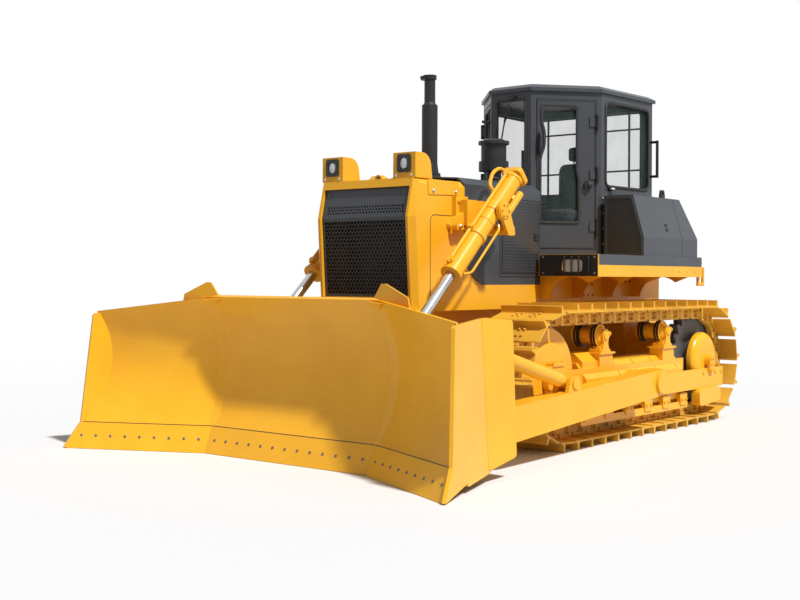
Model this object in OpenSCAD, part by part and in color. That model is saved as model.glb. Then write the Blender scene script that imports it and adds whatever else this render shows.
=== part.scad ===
// Crawler bulldozer with a three-section blade, an enclosed cab and two tracks.
// X points forward from the sprocket axle, Y to the machine's left and Z up from the ground, in millimetres.

/* [Tracks] */
// Distance between the track centre lines
track_gauge = 2000; // [1960:10:2100]
// Width of a track shoe
shoe_width = 560; // [500:10:580]
// Radius of the pins' path round the sprocket and the idler
loop_r = 437.36; // [415:0.01:455]
// Shoes on each track
shoe_count = 38; // [37:1:39]
// Distance from the sprocket axle to the idler axle
wheel_base = 2730; // [2650:10:2800]
// Height of the lug on a shoe
lug_height = 60; // [40:1:75]
// Thickness of the lug on a shoe
lug_thickness = 24; // [16:1:32]
// Thickness of a shoe's plate
shoe_plate = 13; // [10:1:20]
// Distance from the pins out to the shoe plates
link_rise = 64; // [56:1:72]
// Distance from the pins in to the rails' treads
link_drop = 45; // [38:1:50]
// Width of one rail of the chain
rail_width = 45; // [35:1:50]
// Clear width between the two rails
rail_gap = 120; // [110:1:130]
// Radius of a track roller
roller_radius = 105; // [95:1:115]
// Radius of a carrier roller
carrier_radius = 98; // [85:1:110]

/* [Hull] */
// Half the width of the hood
hood_half = 500; // [470:5:520]
// Thickness of the sheet panels
sheet = 12; // [8:1:20]
// Height of the belly above the ground
belly_z = 405; // [380:5:430]
// Height of the frame's top under the hood
frame_top_z = 1110; // [1080:5:1140]
// Height of the hood's side edge
hood_edge_z = 2095; // [2060:5:2120]
// Rise of the hood's crown above its side edge
hood_crown = 85; // [50:5:110]
// Rear end of the hood's louvred panels
hood_rear_x = 1880; // [1840:5:1900]
// Length of the hood
hood_length = 1130; // [1100:5:1160]
// Depth of the radiator guard at its kink
guard_depth = 677; // [650:1:700]
// Height of the radiator guard's top
guard_top_z = 2110; // [2090:5:2125]
// Wall of the radiator guard
guard_wall = 20; // [14:1:28]
// Rear end of the drawbar
drawbar_x = -645; // [-700:5:-600]
// Radius of the drawbar's pin hole
drawbar_hole_r = 30; // [20:1:40]

/* [Cab and fenders] */
// Height of the fender's top, where the cab stands
deck_z = 1550; // [1520:5:1580]
// Height of the fender's skirt
skirt_height = 188; // [160:2:200]
// Width of a box beside the cab
box_width = 400; // [370:5:430]
// Front end of the fenders
fender_front_x = 1963; // [1940:5:1990]
// Rear end of the fenders
fender_rear_x = -49; // [-80:5:-20]
// Front of the cab
cab_front_x = 1590; // [1560:5:1600]
// Half the width of the cab's front
cab_front_half = 217; // [200:1:240]
// Place of the cab's side corners
cab_corner_x = 1080; // [1060:5:1100]
// Half the width of the cab at its side corners
cab_corner_half = 650; // [630:5:665]
// Rear of the cab
cab_rear_x = 160; // [140:5:200]
// Half the width of the cab's rear
cab_rear_half = 690; // [675:5:700]
// Height of the cab's walls above the deck
cab_height = 1485; // [1440:5:1530]
// Thickness of the roof
roof_thickness = 65; // [50:1:80]
// Thickness of the cab's walls and doors
cab_wall = 45; // [35:1:60]
// Thickness of the window glass
glass = 6; // [5:1:10]
// Width of a cab door
door_width = 560; // [520:5:580]
// Height of the boxes above the deck
box_height = 545; // [500:5:580]

/* [Blade] */
// Distance the blade reaches past each push arm
blade_reach = 372.5; // [340:2.5:410]
// Width of the blade's middle section
centre_width = 1640; // [1560:10:1700]
// Angle of the wings
wing_angle = 26; // [22:1:28]
// Place of the cutting edge of the middle section
edge_x = 4582; // [4560:2:4620]
// Height of the cutting edge above the ground
edge_z = 3; // [0:1:20]
// Height of the cutting edge's top
edge_top_z = 200; // [180:2:220]
// Thickness of the cutting edge
edge_plate = 30; // [22:1:40]
// Distance the cutting edge leans back
edge_lean = 97; // [80:1:110]
// Height of the moldboard's top
blade_top_z = 1193; // [1150:1:1230]
// Fall of the wings' top edge to their ends
wing_fall = 146; // [90:2:190]
// Depth of the moldboard's curve
mold_depth = 165; // [140:1:190]
// Thickness of the moldboard and its plates
mold_plate = 25; // [18:1:32]

/* [Push arms and cylinders] */
// Place of the push arms' pivots
trunnion_x = 1560; // [1520:5:1600]
// Radius of the push arms' pivots
trunnion_r = 70; // [55:1:80]
// Distance of a push arm's middle from the machine's middle
arm_y = 1410; // [1395:5:1430]
// Width of a push arm
arm_width = 160; // [140:2:180]
// Place of a push arm's front eye
arm_eye_x = 4070; // [4050:2:4080]
// Height of a push arm's front eye
arm_eye_z = 330; // [310:2:350]
// Distance of a lift cylinder from the machine's middle
lift_y = 705; // [690:5:720]
// Distance of a lift cylinder's pivot behind the guard's rear end
lift_back = 95; // [80:5:110]
// Height of a lift cylinder's pivot
lift_z = 1879; // [1860:1:1900]
// Outer radius of a lift cylinder's barrel
barrel_r = 75; // [65:1:80]
// Radius of a lift cylinder's rod
rod_r = 40; // [30:1:45]
// Clearance between pieces that turn or slide on each other
running = 0.5; // [0.3:0.1:1]

/* [Hidden] */
$fn = 48;
yellow = [0.93, 0.62, 0.10];
grey = [0.22, 0.24, 0.27];
black = [0.06, 0.06, 0.07];
steel = [0.45, 0.45, 0.46];
chrome = [0.85, 0.86, 0.88];
window = [0.55, 0.65, 0.70, 0.35];
lens = [0.95, 0.95, 0.90];
cloth = [0.12, 0.12, 0.13];
// Overlap that joins solids of one node, and reach of a cut past a face
bite = 2;
cut = 40;
big = 4000;
// Clearance between pieces that pass each other
gap = 5;
// Clearance of a piece that sits on another
rest = 0.3;

// Track loop
track_pitch = (2 * wheel_base + 2 * PI * loop_r) / shoe_count;
shoe_top = link_rise + shoe_plate;
lug_tip = shoe_top + lug_height;
axle_z = loop_r + lug_tip;
half_turn = track_pitch / loop_r * 90 / PI;
tread_r = (loop_r - link_drop) * cos(half_turn);
chain_half = rail_gap / 2 + rail_width;
lug_lead = track_pitch * 0.72;
shoe_gap = 6;
track_y = track_gauge / 2;
shoe_outer = track_y + shoe_width / 2;

// Track frames
frame_web = 30;
frame_half = chain_half + 55;
post_y = track_y + frame_half;
post_width = 110;
pedestal_z = axle_z + 160;
pedestal_width = 220;
pedestal_depth = 130;
cover_z = axle_z + 80;
roller_z = lug_tip + link_drop + roller_radius + running;
roller_first = loop_r + 65;
roller_count = 6;
roller_step = (wheel_base - 2 * roller_first + 20) / (roller_count - 1);
flange_rise = 18;
beam_z = [axle_z - 257, axle_z - 74];
beam_y = [track_y + 190, track_y + 222];
beam_x = [-295, trunnion_x + 140];
guard_z = [lug_tip + 20, roller_z + 40];
dome_r = [262, 165];
dome_y = track_y + chain_half + 30;
dish_r = 285;
carrier_z = axle_z + loop_r - link_drop - carrier_radius - running;
carrier_x = [wheel_base * 0.275, wheel_base * 0.695];
hub_r = 200;
sprocket_half = 44;
sprocket_r = loop_r + 24;
tooth_count = 25;

// Hull
guard_rear_x = hood_rear_x + hood_length;
guard_front_x = guard_rear_x + guard_depth;
box_gap = 10;
fender_half = max(cab_rear_half, cab_corner_half) + box_gap + box_width;
roof_z = deck_z + cab_height;
frame_y = hood_half - 20;
case_half = 300;
case_rear_x = -420;
rear_top_z = deck_z - skirt_height;
strip_z = deck_z - 90;
guard_foot = [guard_front_x - 47, frame_top_z];
guard_kink = [guard_front_x, 1811];
guard_head = [guard_front_x - 67, guard_top_z];
grille_half = hood_half - 66;
lamp_face_x = guard_head[0] - 5;
lamp_y = 365;
lamp_half = 108;
lamp_pane = [
    [lamp_y - 58, guard_top_z + 52], [lamp_y + 58, guard_top_z + 52], [lamp_y + 58, guard_top_z + 172],
    [lamp_y - 58, guard_top_z + 172]
];
stack_x = 2813;
cleaner_x = 2085;
cleaner_y = 150;
boss_z = hood_edge_z + hood_crown + 12;
panel_low_z = frame_top_z + 180;
lamp_window = [
    [fender_half - 330, rear_top_z + 40], [fender_half - 130, rear_top_z + 40],
    [fender_half - 130, deck_z - 45], [fender_half - 330, deck_z - 45]
];

// Cab
corner_left = [cab_corner_x, cab_corner_half];
front_left = [cab_front_x, cab_front_half];
wall_run = norm(corner_left - front_left);
wall_turn = atan2(corner_left[1] - front_left[1], corner_left[0] - front_left[0]);
door_start = (wall_run - door_width) / 2;
door_z = [deck_z + 64, roof_z - 70];
door_sill = 235;
door_head = 52;
pane_r = 45;
window_low_z = deck_z + 640;
pane_top_z = roof_z - 70;
hinge_u = door_start + door_width + 10;
hinge_v = 16;
hinge_r = 14;
cab_plan = [
    [cab_front_x, -cab_front_half], front_left, corner_left, [cab_rear_x, cab_rear_half],
    [cab_rear_x, -cab_rear_half], [cab_corner_x, -cab_corner_half]
];

// Blade
arm_y0 = arm_y - arm_width / 2;
arm_y1 = arm_y + arm_width / 2;
blade_width = 2 * (arm_y1 + blade_reach);
chord_x = edge_x - edge_lean;
half_centre = centre_width / 2;
mold_rise = blade_top_z - edge_top_z;
mold_r = (pow(mold_rise / 2, 2) + pow(mold_depth, 2)) / (2 * mold_depth);
wing_run = (blade_width / 2 - half_centre + edge_lean * sin(wing_angle)) / cos(wing_angle);
tip = [
    chord_x + wing_run * sin(wing_angle) + edge_lean * cos(wing_angle),
    blade_width / 2
];
mold_middle = [chord_x - mold_depth + mold_r, (edge_top_z + blade_top_z) / 2];
fold_gap = 8;
strip_half = 50;
strip_rise = 6;
edge_seam = 1;
end_bite = 8;
end_toe = 16;
end_lean = 1.5;
end_fold = 820;
fold_at = tip - end_fold * [cos(end_toe), sin(end_toe)];
end_rear_x = chord_x - 500;
end_top_z = blade_top_z - wing_fall;
// How far the leaning end plate brings its fold forward at the top
fold_run = end_top_z * tan(end_lean) / sin(end_toe);
back_x = [chord_x - mold_depth - 120, chord_x - mold_depth + 30];
back_z = [edge_top_z - 20, edge_top_z + 220];
upper_z = [blade_top_z - 373, blade_top_z - 233];
web_x = back_x[0] + 100;
web_depth = mold_depth * 0.82;
web_run = 800;
edge_slope = edge_lean / (edge_top_z - edge_z);
edge_tilt = atan(edge_slope);

// Push arms, brace and cylinders
lift_x = guard_rear_x - lift_back;
trunnion_z = axle_z - 96;
cap_y = arm_y1 + running;
arm_rear = [trunnion_x - 85, trunnion_z + 108];
arm_front = [arm_eye_x - 300, arm_eye_z + 125];
brace_foot_x = arm_front[0] - 820;
brace_foot = [brace_foot_x, 58 + arm_rear[1]
    + (arm_front[1] - arm_rear[1]) * (brace_foot_x - arm_rear[0]) / (arm_front[0] - arm_rear[0])];
brace_seat = arm_width / 2 - 40;
brace_eye = [back_x[0] - 10, (upper_z[0] + upper_z[1]) / 2];
brace_line = brace_eye - brace_foot;
brace_run = norm(brace_line);
brace_rise = atan2(brace_line[1], brace_line[0]);
brace_play = 78;
brace_neck = 36;
tilt_head = brace_run * 0.6;
lift_eye = [back_x[0] - 20, back_z[1] + 305];
lift_line = lift_eye - [lift_x, lift_z];
lift_run = norm(lift_line);
lift_rise = atan2(lift_line[1], lift_line[0]);
barrel_head = 408;
barrel_nose = 754;
rod_inside = 420;
eye_r = 60;
eye_half = 35;
eye_play = 50;
arm_play = 20;
yoke_inner = lift_y - barrel_r - 10;
yoke_outer = lift_y + barrel_r + 10;
yoke_plate = 30;

// The middle of the whole machine's length comes to X = 0
origin_x = -(tip[0] + drawbar_x) / 2;

// Places a piece in the machine's frame
module placed() {
    translate([origin_x, 0, 0])
        children();
}

// A box between two corners given per axis
module block(x, y, z) {
    translate([x[0], y[0], z[0]])
        cube([x[1] - x[0], y[1] - y[0], z[1] - z[0]]);
}

// A flat shape in X and Z, drawn out along Y
module along_y(y0, y1) {
    translate([0, y1, 0])
        rotate([90, 0, 0])
            linear_extrude(y1 - y0)
                children();
}

// A flat shape in Y and Z, drawn out along X
module along_x(x0, x1) {
    translate([x0, 0, 0])
        rotate([90, 0, 90])
            linear_extrude(x1 - x0)
                children();
}

// A flat shape in X and Y, drawn out along Z
module along_z(z0, z1) {
    translate([0, 0, z0])
        linear_extrude(z1 - z0)
            children();
}

// A round bar along Y
module bar_y(x, z, r, y0, y1) {
    translate([x, y0, z])
        rotate([-90, 0, 0])
            cylinder(r = r, h = y1 - y0);
}

// A round bar along X
module bar_x(y, z, r, x0, x1) {
    translate([x0, y, z])
        rotate([0, 90, 0])
            cylinder(r = r, h = x1 - x0);
}

// A round bar along Z
module bar_z(x, y, r, z0, z1) {
    translate([x, y, z0])
        cylinder(r = r, h = z1 - z0);
}

// The left or the right one of a pair
module handed(side) {
    mirror([0, side < 0 ? 1 : 0, 0])
        children();
}

// Both of a pair
module pair() {
    handed(1)
        children();
    handed(-1)
        children();
}

// Point of a flat outline moved inwards by d, from its own and its two next points
function unit(v) = v / norm(v);
function out_normal(a, b) = unit([b[1] - a[1], a[0] - b[0]]);
function inset_point(a, p, b, d) =
    let (m = out_normal(a, p), n = out_normal(p, b))
    p - d * (m + n) / (1 + m * n);
function turned(v, a) = [v[0] * cos(a) - v[1] * sin(a), v[0] * sin(a) + v[1] * cos(a)];
// Points of a polygon whose corners are rounded by a radius
function soft(points, r, steps = 4) = [
    for (i = [0 : len(points) - 1])
        let (
            p = points[i],
            a = unit(points[(i + len(points) - 1) % len(points)] - p),
            b = unit(points[(i + 1) % len(points)] - p),
            half = acos(a * b) / 2,
            middle = p + unit(a + b) * r / sin(half),
            start = p + a * r / tan(half) - middle,
            way = sign(cross(b, a))
        )
        for (k = [0 : steps])
            middle + turned(start, way * (180 - 2 * half) * k / steps)
];
function inset(points, d) = [
    for (i = [0 : len(points) - 1])
        inset_point(
            points[(i + len(points) - 1) % len(points)], points[i], points[(i + 1) % len(points)], d
        )
];

// Pin of the track loop at a distance along it, from the bottom under the sprocket
function loop_pin(s) =
    s < wheel_base ? [s, axle_z - loop_r] :
    s < wheel_base + PI * loop_r ?
        let (a = (s - wheel_base) / loop_r * 180 / PI - 90)
        [wheel_base + loop_r * cos(a), axle_z + loop_r * sin(a)] :
    s < 2 * wheel_base + PI * loop_r ? [2 * wheel_base + PI * loop_r - s, axle_z + loop_r] :
    let (a = (s - 2 * wheel_base) / loop_r * 180 / PI - 90)
    [loop_r * cos(a), axle_z + loop_r * sin(a)];
function pin_at(k) = loop_pin((k % shoe_count) * track_pitch);
function shoe_dir(k) = unit(pin_at(k + 1) - pin_at(k));
function shoe_out(k) = [shoe_dir(k)[1], -shoe_dir(k)[0]];
function shoe_point(k, u, d) = pin_at(k) + shoe_dir(k) * u + shoe_out(k) * d;
function pin_out(k, d) = pin_at(k) + unit(shoe_out(k + shoe_count - 1) + shoe_out(k)) * d;
function ring_points(d) = [for (k = [0 : shoe_count - 1]) pin_out(k, d)];
function shoe_end(k) = norm(pin_at(k + 1) - pin_at(k));
function shoe_outline(k) = [
    pin_out(k, link_rise + shoe_plate / 4),
    shoe_point(k, shoe_gap / 2, shoe_top),
    shoe_point(k, lug_lead, shoe_top),
    shoe_point(k, lug_lead, lug_tip),
    shoe_point(k, lug_lead + lug_thickness, lug_tip),
    shoe_point(k, lug_lead + lug_thickness, shoe_top),
    shoe_point(k, shoe_end(k) - shoe_gap / 2, shoe_top)
];

// One track: shoes with lugs on a chain of two rails
module track_loop() {
    along_y(track_y - shoe_width / 2, shoe_outer)
        difference() {
            polygon([for (k = [0 : shoe_count - 1]) each shoe_outline(k)]);
            polygon(ring_points(link_rise));
        }
    for (y = [track_y - chain_half, track_y + rail_gap / 2])
        along_y(y, y + rail_width)
            difference() {
                polygon(ring_points(link_rise + bite));
                polygon(ring_points(-link_drop));
            }
}

module track_left() {
    color(steel)
        placed()
            track_loop();
}

module track_right() {
    color(steel)
        placed()
            handed(-1)
                track_loop();
}

// Track frame with its outer beam and the push arm's pivot
module track_frame() {
    front_x = wheel_base + 90;
    rear_x = roller_first - 60;
    box_rear_x = carrier_x[1] + pedestal_width / 2 - bite;
    box_front_x = wheel_base - loop_r - 10;
    body = [
        [track_y - frame_half, axle_z - 60], [track_y - frame_half, cover_z], [track_y + 95, cover_z],
        [beam_y[0] + bite, beam_z[1] + 30], [beam_y[0] + bite, beam_z[1] - 60], [post_y - bite, axle_z - 150],
        [post_y - frame_web, axle_z - 60]
    ];
    for (y = [track_y - frame_half, post_y - frame_web])
        block([rear_x, front_x], [y, y + frame_web], [roller_z - 40, axle_z + 40]);
    along_x(rear_x + 90, box_front_x)
        polygon(body);
    along_x(box_rear_x, box_front_x - 30)
        polygon([
            [track_y - frame_half, cover_z - bite], [track_y - frame_half + 60, pedestal_z],
            [track_y + 60, pedestal_z], [post_y - 20, pedestal_z - 70], [post_y - 20, axle_z - 30],
            [track_y, axle_z - 30]
        ]);
    for (x = carrier_x)
        pedestal(x);
    block(beam_x, beam_y, beam_z);
    bar_y(trunnion_x, trunnion_z, trunnion_r, beam_y[1] - bite, arm_y1);
    bar_y(trunnion_x, trunnion_z, trunnion_r + 25, beam_y[0], arm_y0 - 2);
    roller_guard();
    idler_yoke(front_x);
}

// Box on the track frame that carries a roller's post
module pedestal(x) {
    flange = 16;
    block([x - pedestal_width / 2, x + pedestal_width / 2], [post_y - pedestal_depth, post_y],
        [axle_z, pedestal_z]);
    block([x - pedestal_width / 2 - flange, x + pedestal_width / 2 + flange],
        [post_y - pedestal_depth - flange, post_y + flange], [pedestal_z - flange, pedestal_z]);
}

// Guard along the outside of the rollers, with a collar at each roller and a rounded rear end
module roller_guard() {
    first = roller_first - roller_radius;
    last = roller_first + (roller_count - 1) * roller_step + roller_radius;
    along_y(post_y - bite, post_y + 24)
        polygon(soft([
            [first, guard_z[0]], [last, guard_z[0]], [last, guard_z[0] + 60], [first, guard_z[0] + 60]
        ], 20));
    for (i = [0 : roller_count - 1])
        along_y(post_y - bite, post_y + 36)
            polygon(soft([
                [roller_first + i * roller_step - 62, guard_z[0] + 30],
                [roller_first + i * roller_step + 62, guard_z[0] + 30],
                [roller_first + i * roller_step + 75, beam_z[0] - 20],
                [roller_first + i * roller_step - 75, beam_z[0] - 20]
            ], 16));
    along_y(beam_y[0] - 10, beam_y[1] + 40)
        polygon(soft([
            [-160, guard_z[0] + 30], [roller_first - 200, guard_z[0]], [roller_first - 200, beam_z[0] + bite],
            [-160, beam_z[0] + bite]
        ], 50));
}

// Bearing blocks that hold the idler at the frame's front end
module idler_yoke(front_x) {
    for (y = [track_y - frame_half - 20, post_y - frame_web])
        along_y(y, y + frame_web + 20)
            polygon(soft([
                [wheel_base - 170, axle_z - 105], [front_x + 20, axle_z - 90], [front_x + 20, axle_z + 85],
                [wheel_base - 170, axle_z + 100]
            ], 30));
    for (y = [track_y - frame_half - 30, post_y - frame_web])
        block([wheel_base - 120, wheel_base + 50], [y, y + frame_web + 30], [axle_z + 85, axle_z + 110]);
}

module track_frames() {
    color(yellow)
        placed()
            pair()
                track_frame();
}

// Rollers under the track frame
module track_rollers() {
    color(steel)
        placed()
            pair()
                for (i = [0 : roller_count - 1])
                    track_roller(roller_first + i * roller_step);
}

module track_roller(x) {
    tread = chain_half + 3;
    bar_y(x, roller_z, roller_radius, track_y - tread, track_y + tread);
    bar_y(x, roller_z, roller_radius + flange_rise, track_y - tread - 16, track_y - tread);
    bar_y(x, roller_z, roller_radius + flange_rise, track_y + tread, track_y + tread + 16);
    bar_y(x, roller_z, 45, track_y - frame_half + frame_web, track_y + frame_half - frame_web);
}

// Rollers that carry the track's upper run, with their brackets
module carrier_rollers() {
    color(yellow)
        placed()
            pair()
                for (x = carrier_x)
                    carrier_roller(x);
}

module carrier_roller(x) {
    shaft_r = 40;
    ring = 26;
    head_r = 58;
    for (y = [track_y - chain_half, track_y + rail_gap / 2])
        bar_y(x, carrier_z, carrier_radius, y, y + rail_width);
    bar_y(x, carrier_z, carrier_radius - ring, track_y - chain_half - ring, track_y + chain_half + ring);
    for (y = [track_y - chain_half - ring, track_y, track_y + chain_half])
        bar_y(x, carrier_z, carrier_radius - ring / 2, y - ring / 2, y + ring / 2);
    bar_y(x, carrier_z, shaft_r, track_y, post_y + ring);
    along_y(post_y - pedestal_depth + ring, post_y)
        polygon([
            [x - post_width / 2, pedestal_z + rest], [x + post_width / 2, pedestal_z + rest],
            [x + head_r * 0.8, carrier_z], [x - head_r * 0.8, carrier_z]
        ]);
    bar_y(x, carrier_z, head_r, post_y - pedestal_depth + ring, post_y + ring / 2);
    for (side = [-1, 1])
        block([x + side * post_width / 2 - ring, x + side * post_width / 2 + ring],
            [post_y - pedestal_depth, post_y], [pedestal_z + rest, pedestal_z + ring]);
}

// Drive sprockets with their hubs
module sprockets() {
    color(steel)
        placed()
            pair() {
                along_y(track_y - sprocket_half, track_y + sprocket_half)
                    translate([0, axle_z])
                        polygon([
                            for (i = [0 : 4 * tooth_count - 1])
                                (i % 4 < 2 ? sprocket_r : sprocket_r - 58)
                                    * [cos((i + 0.5) * 90 / tooth_count), sin((i + 0.5) * 90 / tooth_count)]
                        ]);
                bar_y(0, axle_z, hub_r, track_y - chain_half, track_y + chain_half);
            }
}

// Final drive cases inside and outside the sprockets
module final_drives() {
    inner_r = 300;
    plate = [100, 28];
    cap_z = [axle_z - 118, axle_z + 42];
    color(yellow)
        placed()
            pair() {
                bar_y(0, axle_z, inner_r, frame_y, track_y - chain_half);
                translate([0, track_y + chain_half, axle_z])
                    rotate([-90, 0, 0])
                        rotate_extrude()
                            polygon(dome_profile());
                bar_y(0, axle_z, 55, beam_y[0] - 20, beam_y[1] + plate[1]);
                along_y(beam_y[1] + rest, beam_y[1] + plate[1])
                    polygon(soft([
                        [-plate[0] / 2, cap_z[0]], [plate[0] / 2, cap_z[0]], [plate[0] / 2, cap_z[1]],
                        [-plate[0] / 2, cap_z[1]]
                    ], plate[0] / 2 - 1));
            }
}

// Half section of the dome outside the sprocket: a rim, a rounded shoulder and a flat end
function dome_profile() =
    let (reach = beam_y[0] - rest - track_y - chain_half, rim = dome_y - track_y - chain_half)
    concat(
        [[0, 0], [dome_r[0], 0]],
        [for (a = [0 : 15 : 90])
            [dome_r[1] + (dome_r[0] - dome_r[1]) * cos(a), rim + (reach - rim) * sin(a)]],
        [[0, reach]]
    );

// Front idlers
module idlers() {
    flange = 30;
    boss_r = 90;
    color(yellow)
        placed()
            pair() {
                bar_y(wheel_base, axle_z, tread_r - 2, track_y - chain_half, track_y + chain_half);
                bar_y(wheel_base, axle_z, tread_r + flange, track_y - rail_gap / 2 + 8, track_y + rail_gap / 2 - 8);
                for (side = [-1, 1])
                    translate([wheel_base, track_y + side * (chain_half - bite), axle_z])
                        rotate([-90 * side, 0, 0])
                            cylinder(r1 = dish_r, r2 = dish_r - flange, h = frame_half - frame_web - chain_half - 6);
                bar_y(wheel_base, axle_z, boss_r, track_y - frame_half + frame_web + rest,
                    track_y + frame_half - frame_web - rest);
            }
}

// Main frame with its belly, rear case and cross bars
module main_frame() {
    bar_x0 = wheel_base - 480;
    color(yellow)
        placed() {
            block([case_rear_x, guard_rear_x + 300], [-case_half, case_half], [belly_z, frame_top_z]);
            block([case_rear_x, hood_rear_x], [-frame_y, frame_y], [frame_top_z - 180, rear_top_z]);
            block([hood_rear_x - bite, guard_foot[0]], [-hood_half, hood_half], [frame_top_z - 20, frame_top_z]);
            block([case_rear_x, 320], [-frame_y, frame_y], [belly_z + 60, frame_top_z]);
            block([bar_x0, bar_x0 + 130], [frame_half - track_y, track_y - frame_half], [belly_z + 20, axle_z - 40]);
            for (side = [-1, 1])
                handed(side) {
                    block([hood_rear_x - bite, guard_rear_x], [hood_half - 20, hood_half],
                        [frame_top_z - bite, panel_low_z]);
                    block([guard_rear_x - 340, guard_rear_x], [hood_half - sheet - 14, hood_half - sheet - rest],
                        [panel_low_z - bite, panel_low_z + 340]);
                }
        }
}

// Engine and radiator as plain blocks
module engine_block() {
    color(steel)
        placed() {
            block([hood_rear_x + 120, guard_rear_x - 120], [-330, 330], [frame_top_z, hood_edge_z - 180]);
            block([guard_rear_x + 200, guard_rear_x + 330], [-grille_half, grille_half],
                [frame_top_z + guard_wall + 2 * rest, guard_top_z - guard_wall - 2 * rest]);
        }
}

// Yellow guard around the radiator
module radiator_guard() {
    bevel = 45;
    shell = [[guard_rear_x, frame_top_z + rest], guard_foot, guard_kink, guard_head, [guard_rear_x, guard_top_z]];
    back = [
        shell[0], guard_foot - [bevel, 0], guard_kink - [bevel, 0], guard_head - [bevel, bevel],
        [guard_rear_x, guard_top_z - bevel]
    ];
    hollow = inset(shell, guard_wall);
    color(yellow)
        placed()
            difference() {
                hull() {
                    along_y(bevel - hood_half, hood_half - bevel)
                        polygon(shell);
                    along_y(-hood_half, hood_half)
                        polygon(back);
                }
                along_y(guard_wall + bevel - hood_half, hood_half - bevel - guard_wall)
                    polygon([
                        [guard_rear_x - cut, hollow[0][1]], hollow[1], hollow[2], hollow[3],
                        [guard_rear_x - cut, hollow[4][1]]
                    ]);
                block([guard_rear_x + 400, guard_front_x + cut], [-grille_half, grille_half],
                    [frame_top_z + 85, guard_top_z - 65]);
            }
}

// Grille behind the guard's front opening
module grille() {
    shell = [[guard_rear_x, frame_top_z], guard_foot, guard_kink, guard_head, [guard_rear_x, guard_top_z]];
    face = inset(shell, guard_wall + rest);
    thick = 24;
    color(black)
        placed()
            difference() {
                intersection() {
                    along_y(-grille_half + rest, grille_half - rest)
                        polygon([
                            face[1], face[2], face[3], face[3] - [thick, 0], face[2] - [thick, 0],
                            face[1] - [thick, 0]
                        ]);
                    block([guard_rear_x, guard_front_x], [-hood_half, hood_half],
                        [frame_top_z + 65, guard_top_z - 45]);
                }
                grille_holes();
            }
}

module grille_holes() {
    step = 70;
    for (row = [0 : 7])
        for (col = [-6 : 6])
            translate([guard_rear_x + 400, (col + (row % 2) / 2 - 0.25) * step, frame_top_z + 130 + row * step])
                rotate([0, 90, 0])
                    cylinder(r = step * 0.46, h = 400, $fn = 6);
}

// Hood over the engine, with the cowl in front of the cab
module hood() {
    top = [
        [-hood_half, hood_edge_z - 85], [-hood_half, hood_edge_z], [-hood_half + 70, hood_edge_z + hood_crown * 0.65],
        [0, hood_edge_z + hood_crown], [hood_half - 70, hood_edge_z + hood_crown * 0.65], [hood_half, hood_edge_z],
        [hood_half, hood_edge_z - 85]
    ];
    color(grey)
        placed() {
            difference() {
                along_x(hood_rear_x, guard_rear_x)
                    polygon(top);
                along_x(hood_rear_x + sheet, guard_rear_x + cut)
                    polygon([for (p = top) [p[0] * (1 - sheet / hood_half), p[1] - sheet]]);
            }
            along_z(deck_z + rest, hood_edge_z)
                polygon([
                    [hood_rear_x, -hood_half], [hood_rear_x, hood_half],
                    [cab_front_x + gap, cab_front_half], [cab_front_x + gap, -cab_front_half]
                ]);
            bar_z(stack_x, 0, 96, hood_edge_z + hood_crown - sheet, boss_z);
            bar_z(cleaner_x, cleaner_y, 84, hood_edge_z + hood_crown * 0.8 - sheet, boss_z);
        }
}

// Louvred panels at the engine's sides
module side_panels() {
    arc_r = 330;
    color(grey)
        placed()
            pair()
                difference() {
                    union() {
                        block([hood_rear_x, guard_rear_x], [hood_half - sheet, hood_half],
                            [panel_low_z + arc_r, hood_edge_z - 85]);
                        block([hood_rear_x, guard_rear_x - arc_r], [hood_half - sheet, hood_half],
                            [panel_low_z, panel_low_z + arc_r + bite]);
                        bar_y(guard_rear_x - arc_r, panel_low_z + arc_r, arc_r, hood_half - sheet, hood_half);
                    }
                    for (i = [0 : 6])
                        block([hood_rear_x + 90, hood_rear_x + 520], [hood_half - cut, hood_half + cut],
                            [panel_low_z + 120 + i * 75, panel_low_z + 145 + i * 75]);
                }
}

// Boxes on the guard that hold the front lamps
module lamp_boxes() {
    high = 195;
    flat = 95;
    round_r = 105;
    rear_x = lamp_face_x - flat - round_r;
    color(yellow)
        placed()
            pair()
                difference() {
                    along_y(lamp_y - lamp_half, lamp_y + lamp_half)
                        polygon(concat(
                            [[lamp_face_x, guard_top_z + rest], [lamp_face_x, guard_top_z + high]],
                            [for (a = [90 : 15 : 165])
                                [lamp_face_x - flat + round_r * cos(a), guard_top_z + high - round_r * (1 - sin(a))]],
                            [[rear_x - 14, guard_top_z + rest]]
                        ));
                    along_x(lamp_face_x - 40 - rest, lamp_face_x + cut)
                        polygon(soft(lamp_pane, 34));
                }
}

// Lamps of the guard and the fenders
module lamps() {
    depth = [40, 60];
    color(lens)
        placed()
            pair() {
                along_x(lamp_face_x - depth[0], lamp_face_x - 4)
                    polygon(soft(lamp_pane, 34));
                along_x(fender_front_x - sheet - depth[1], fender_front_x - sheet - rest)
                    polygon(soft(lamp_window, 30));
            }
}

module exhaust_stack() {
    foot = boss_z + rest;
    flange = [92, 22];
    body = [66, 590];
    pipe = [46, 835];
    lip = 56;
    color(black)
        placed() {
            bar_z(stack_x, 0, flange[0], foot, foot + flange[1]);
            translate([stack_x, 0, foot])
                cylinder(r1 = body[0] + 14, r2 = body[0], h = 110);
            bar_z(stack_x, 0, body[0], foot, foot + body[1]);
            translate([stack_x, 0, foot + body[1] - bite])
                cylinder(r1 = body[0] - 4, r2 = pipe[0], h = 24);
            bar_z(stack_x, 0, pipe[0], foot + body[1], foot + pipe[1]);
            translate([stack_x + 14, -14, foot + pipe[1] - 34])
                cylinder(r1 = lip, r2 = lip + 8, h = 28);
            bar_z(stack_x, 0, lip, foot + pipe[1] - 30, foot + pipe[1] + 4);
        }
}

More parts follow.
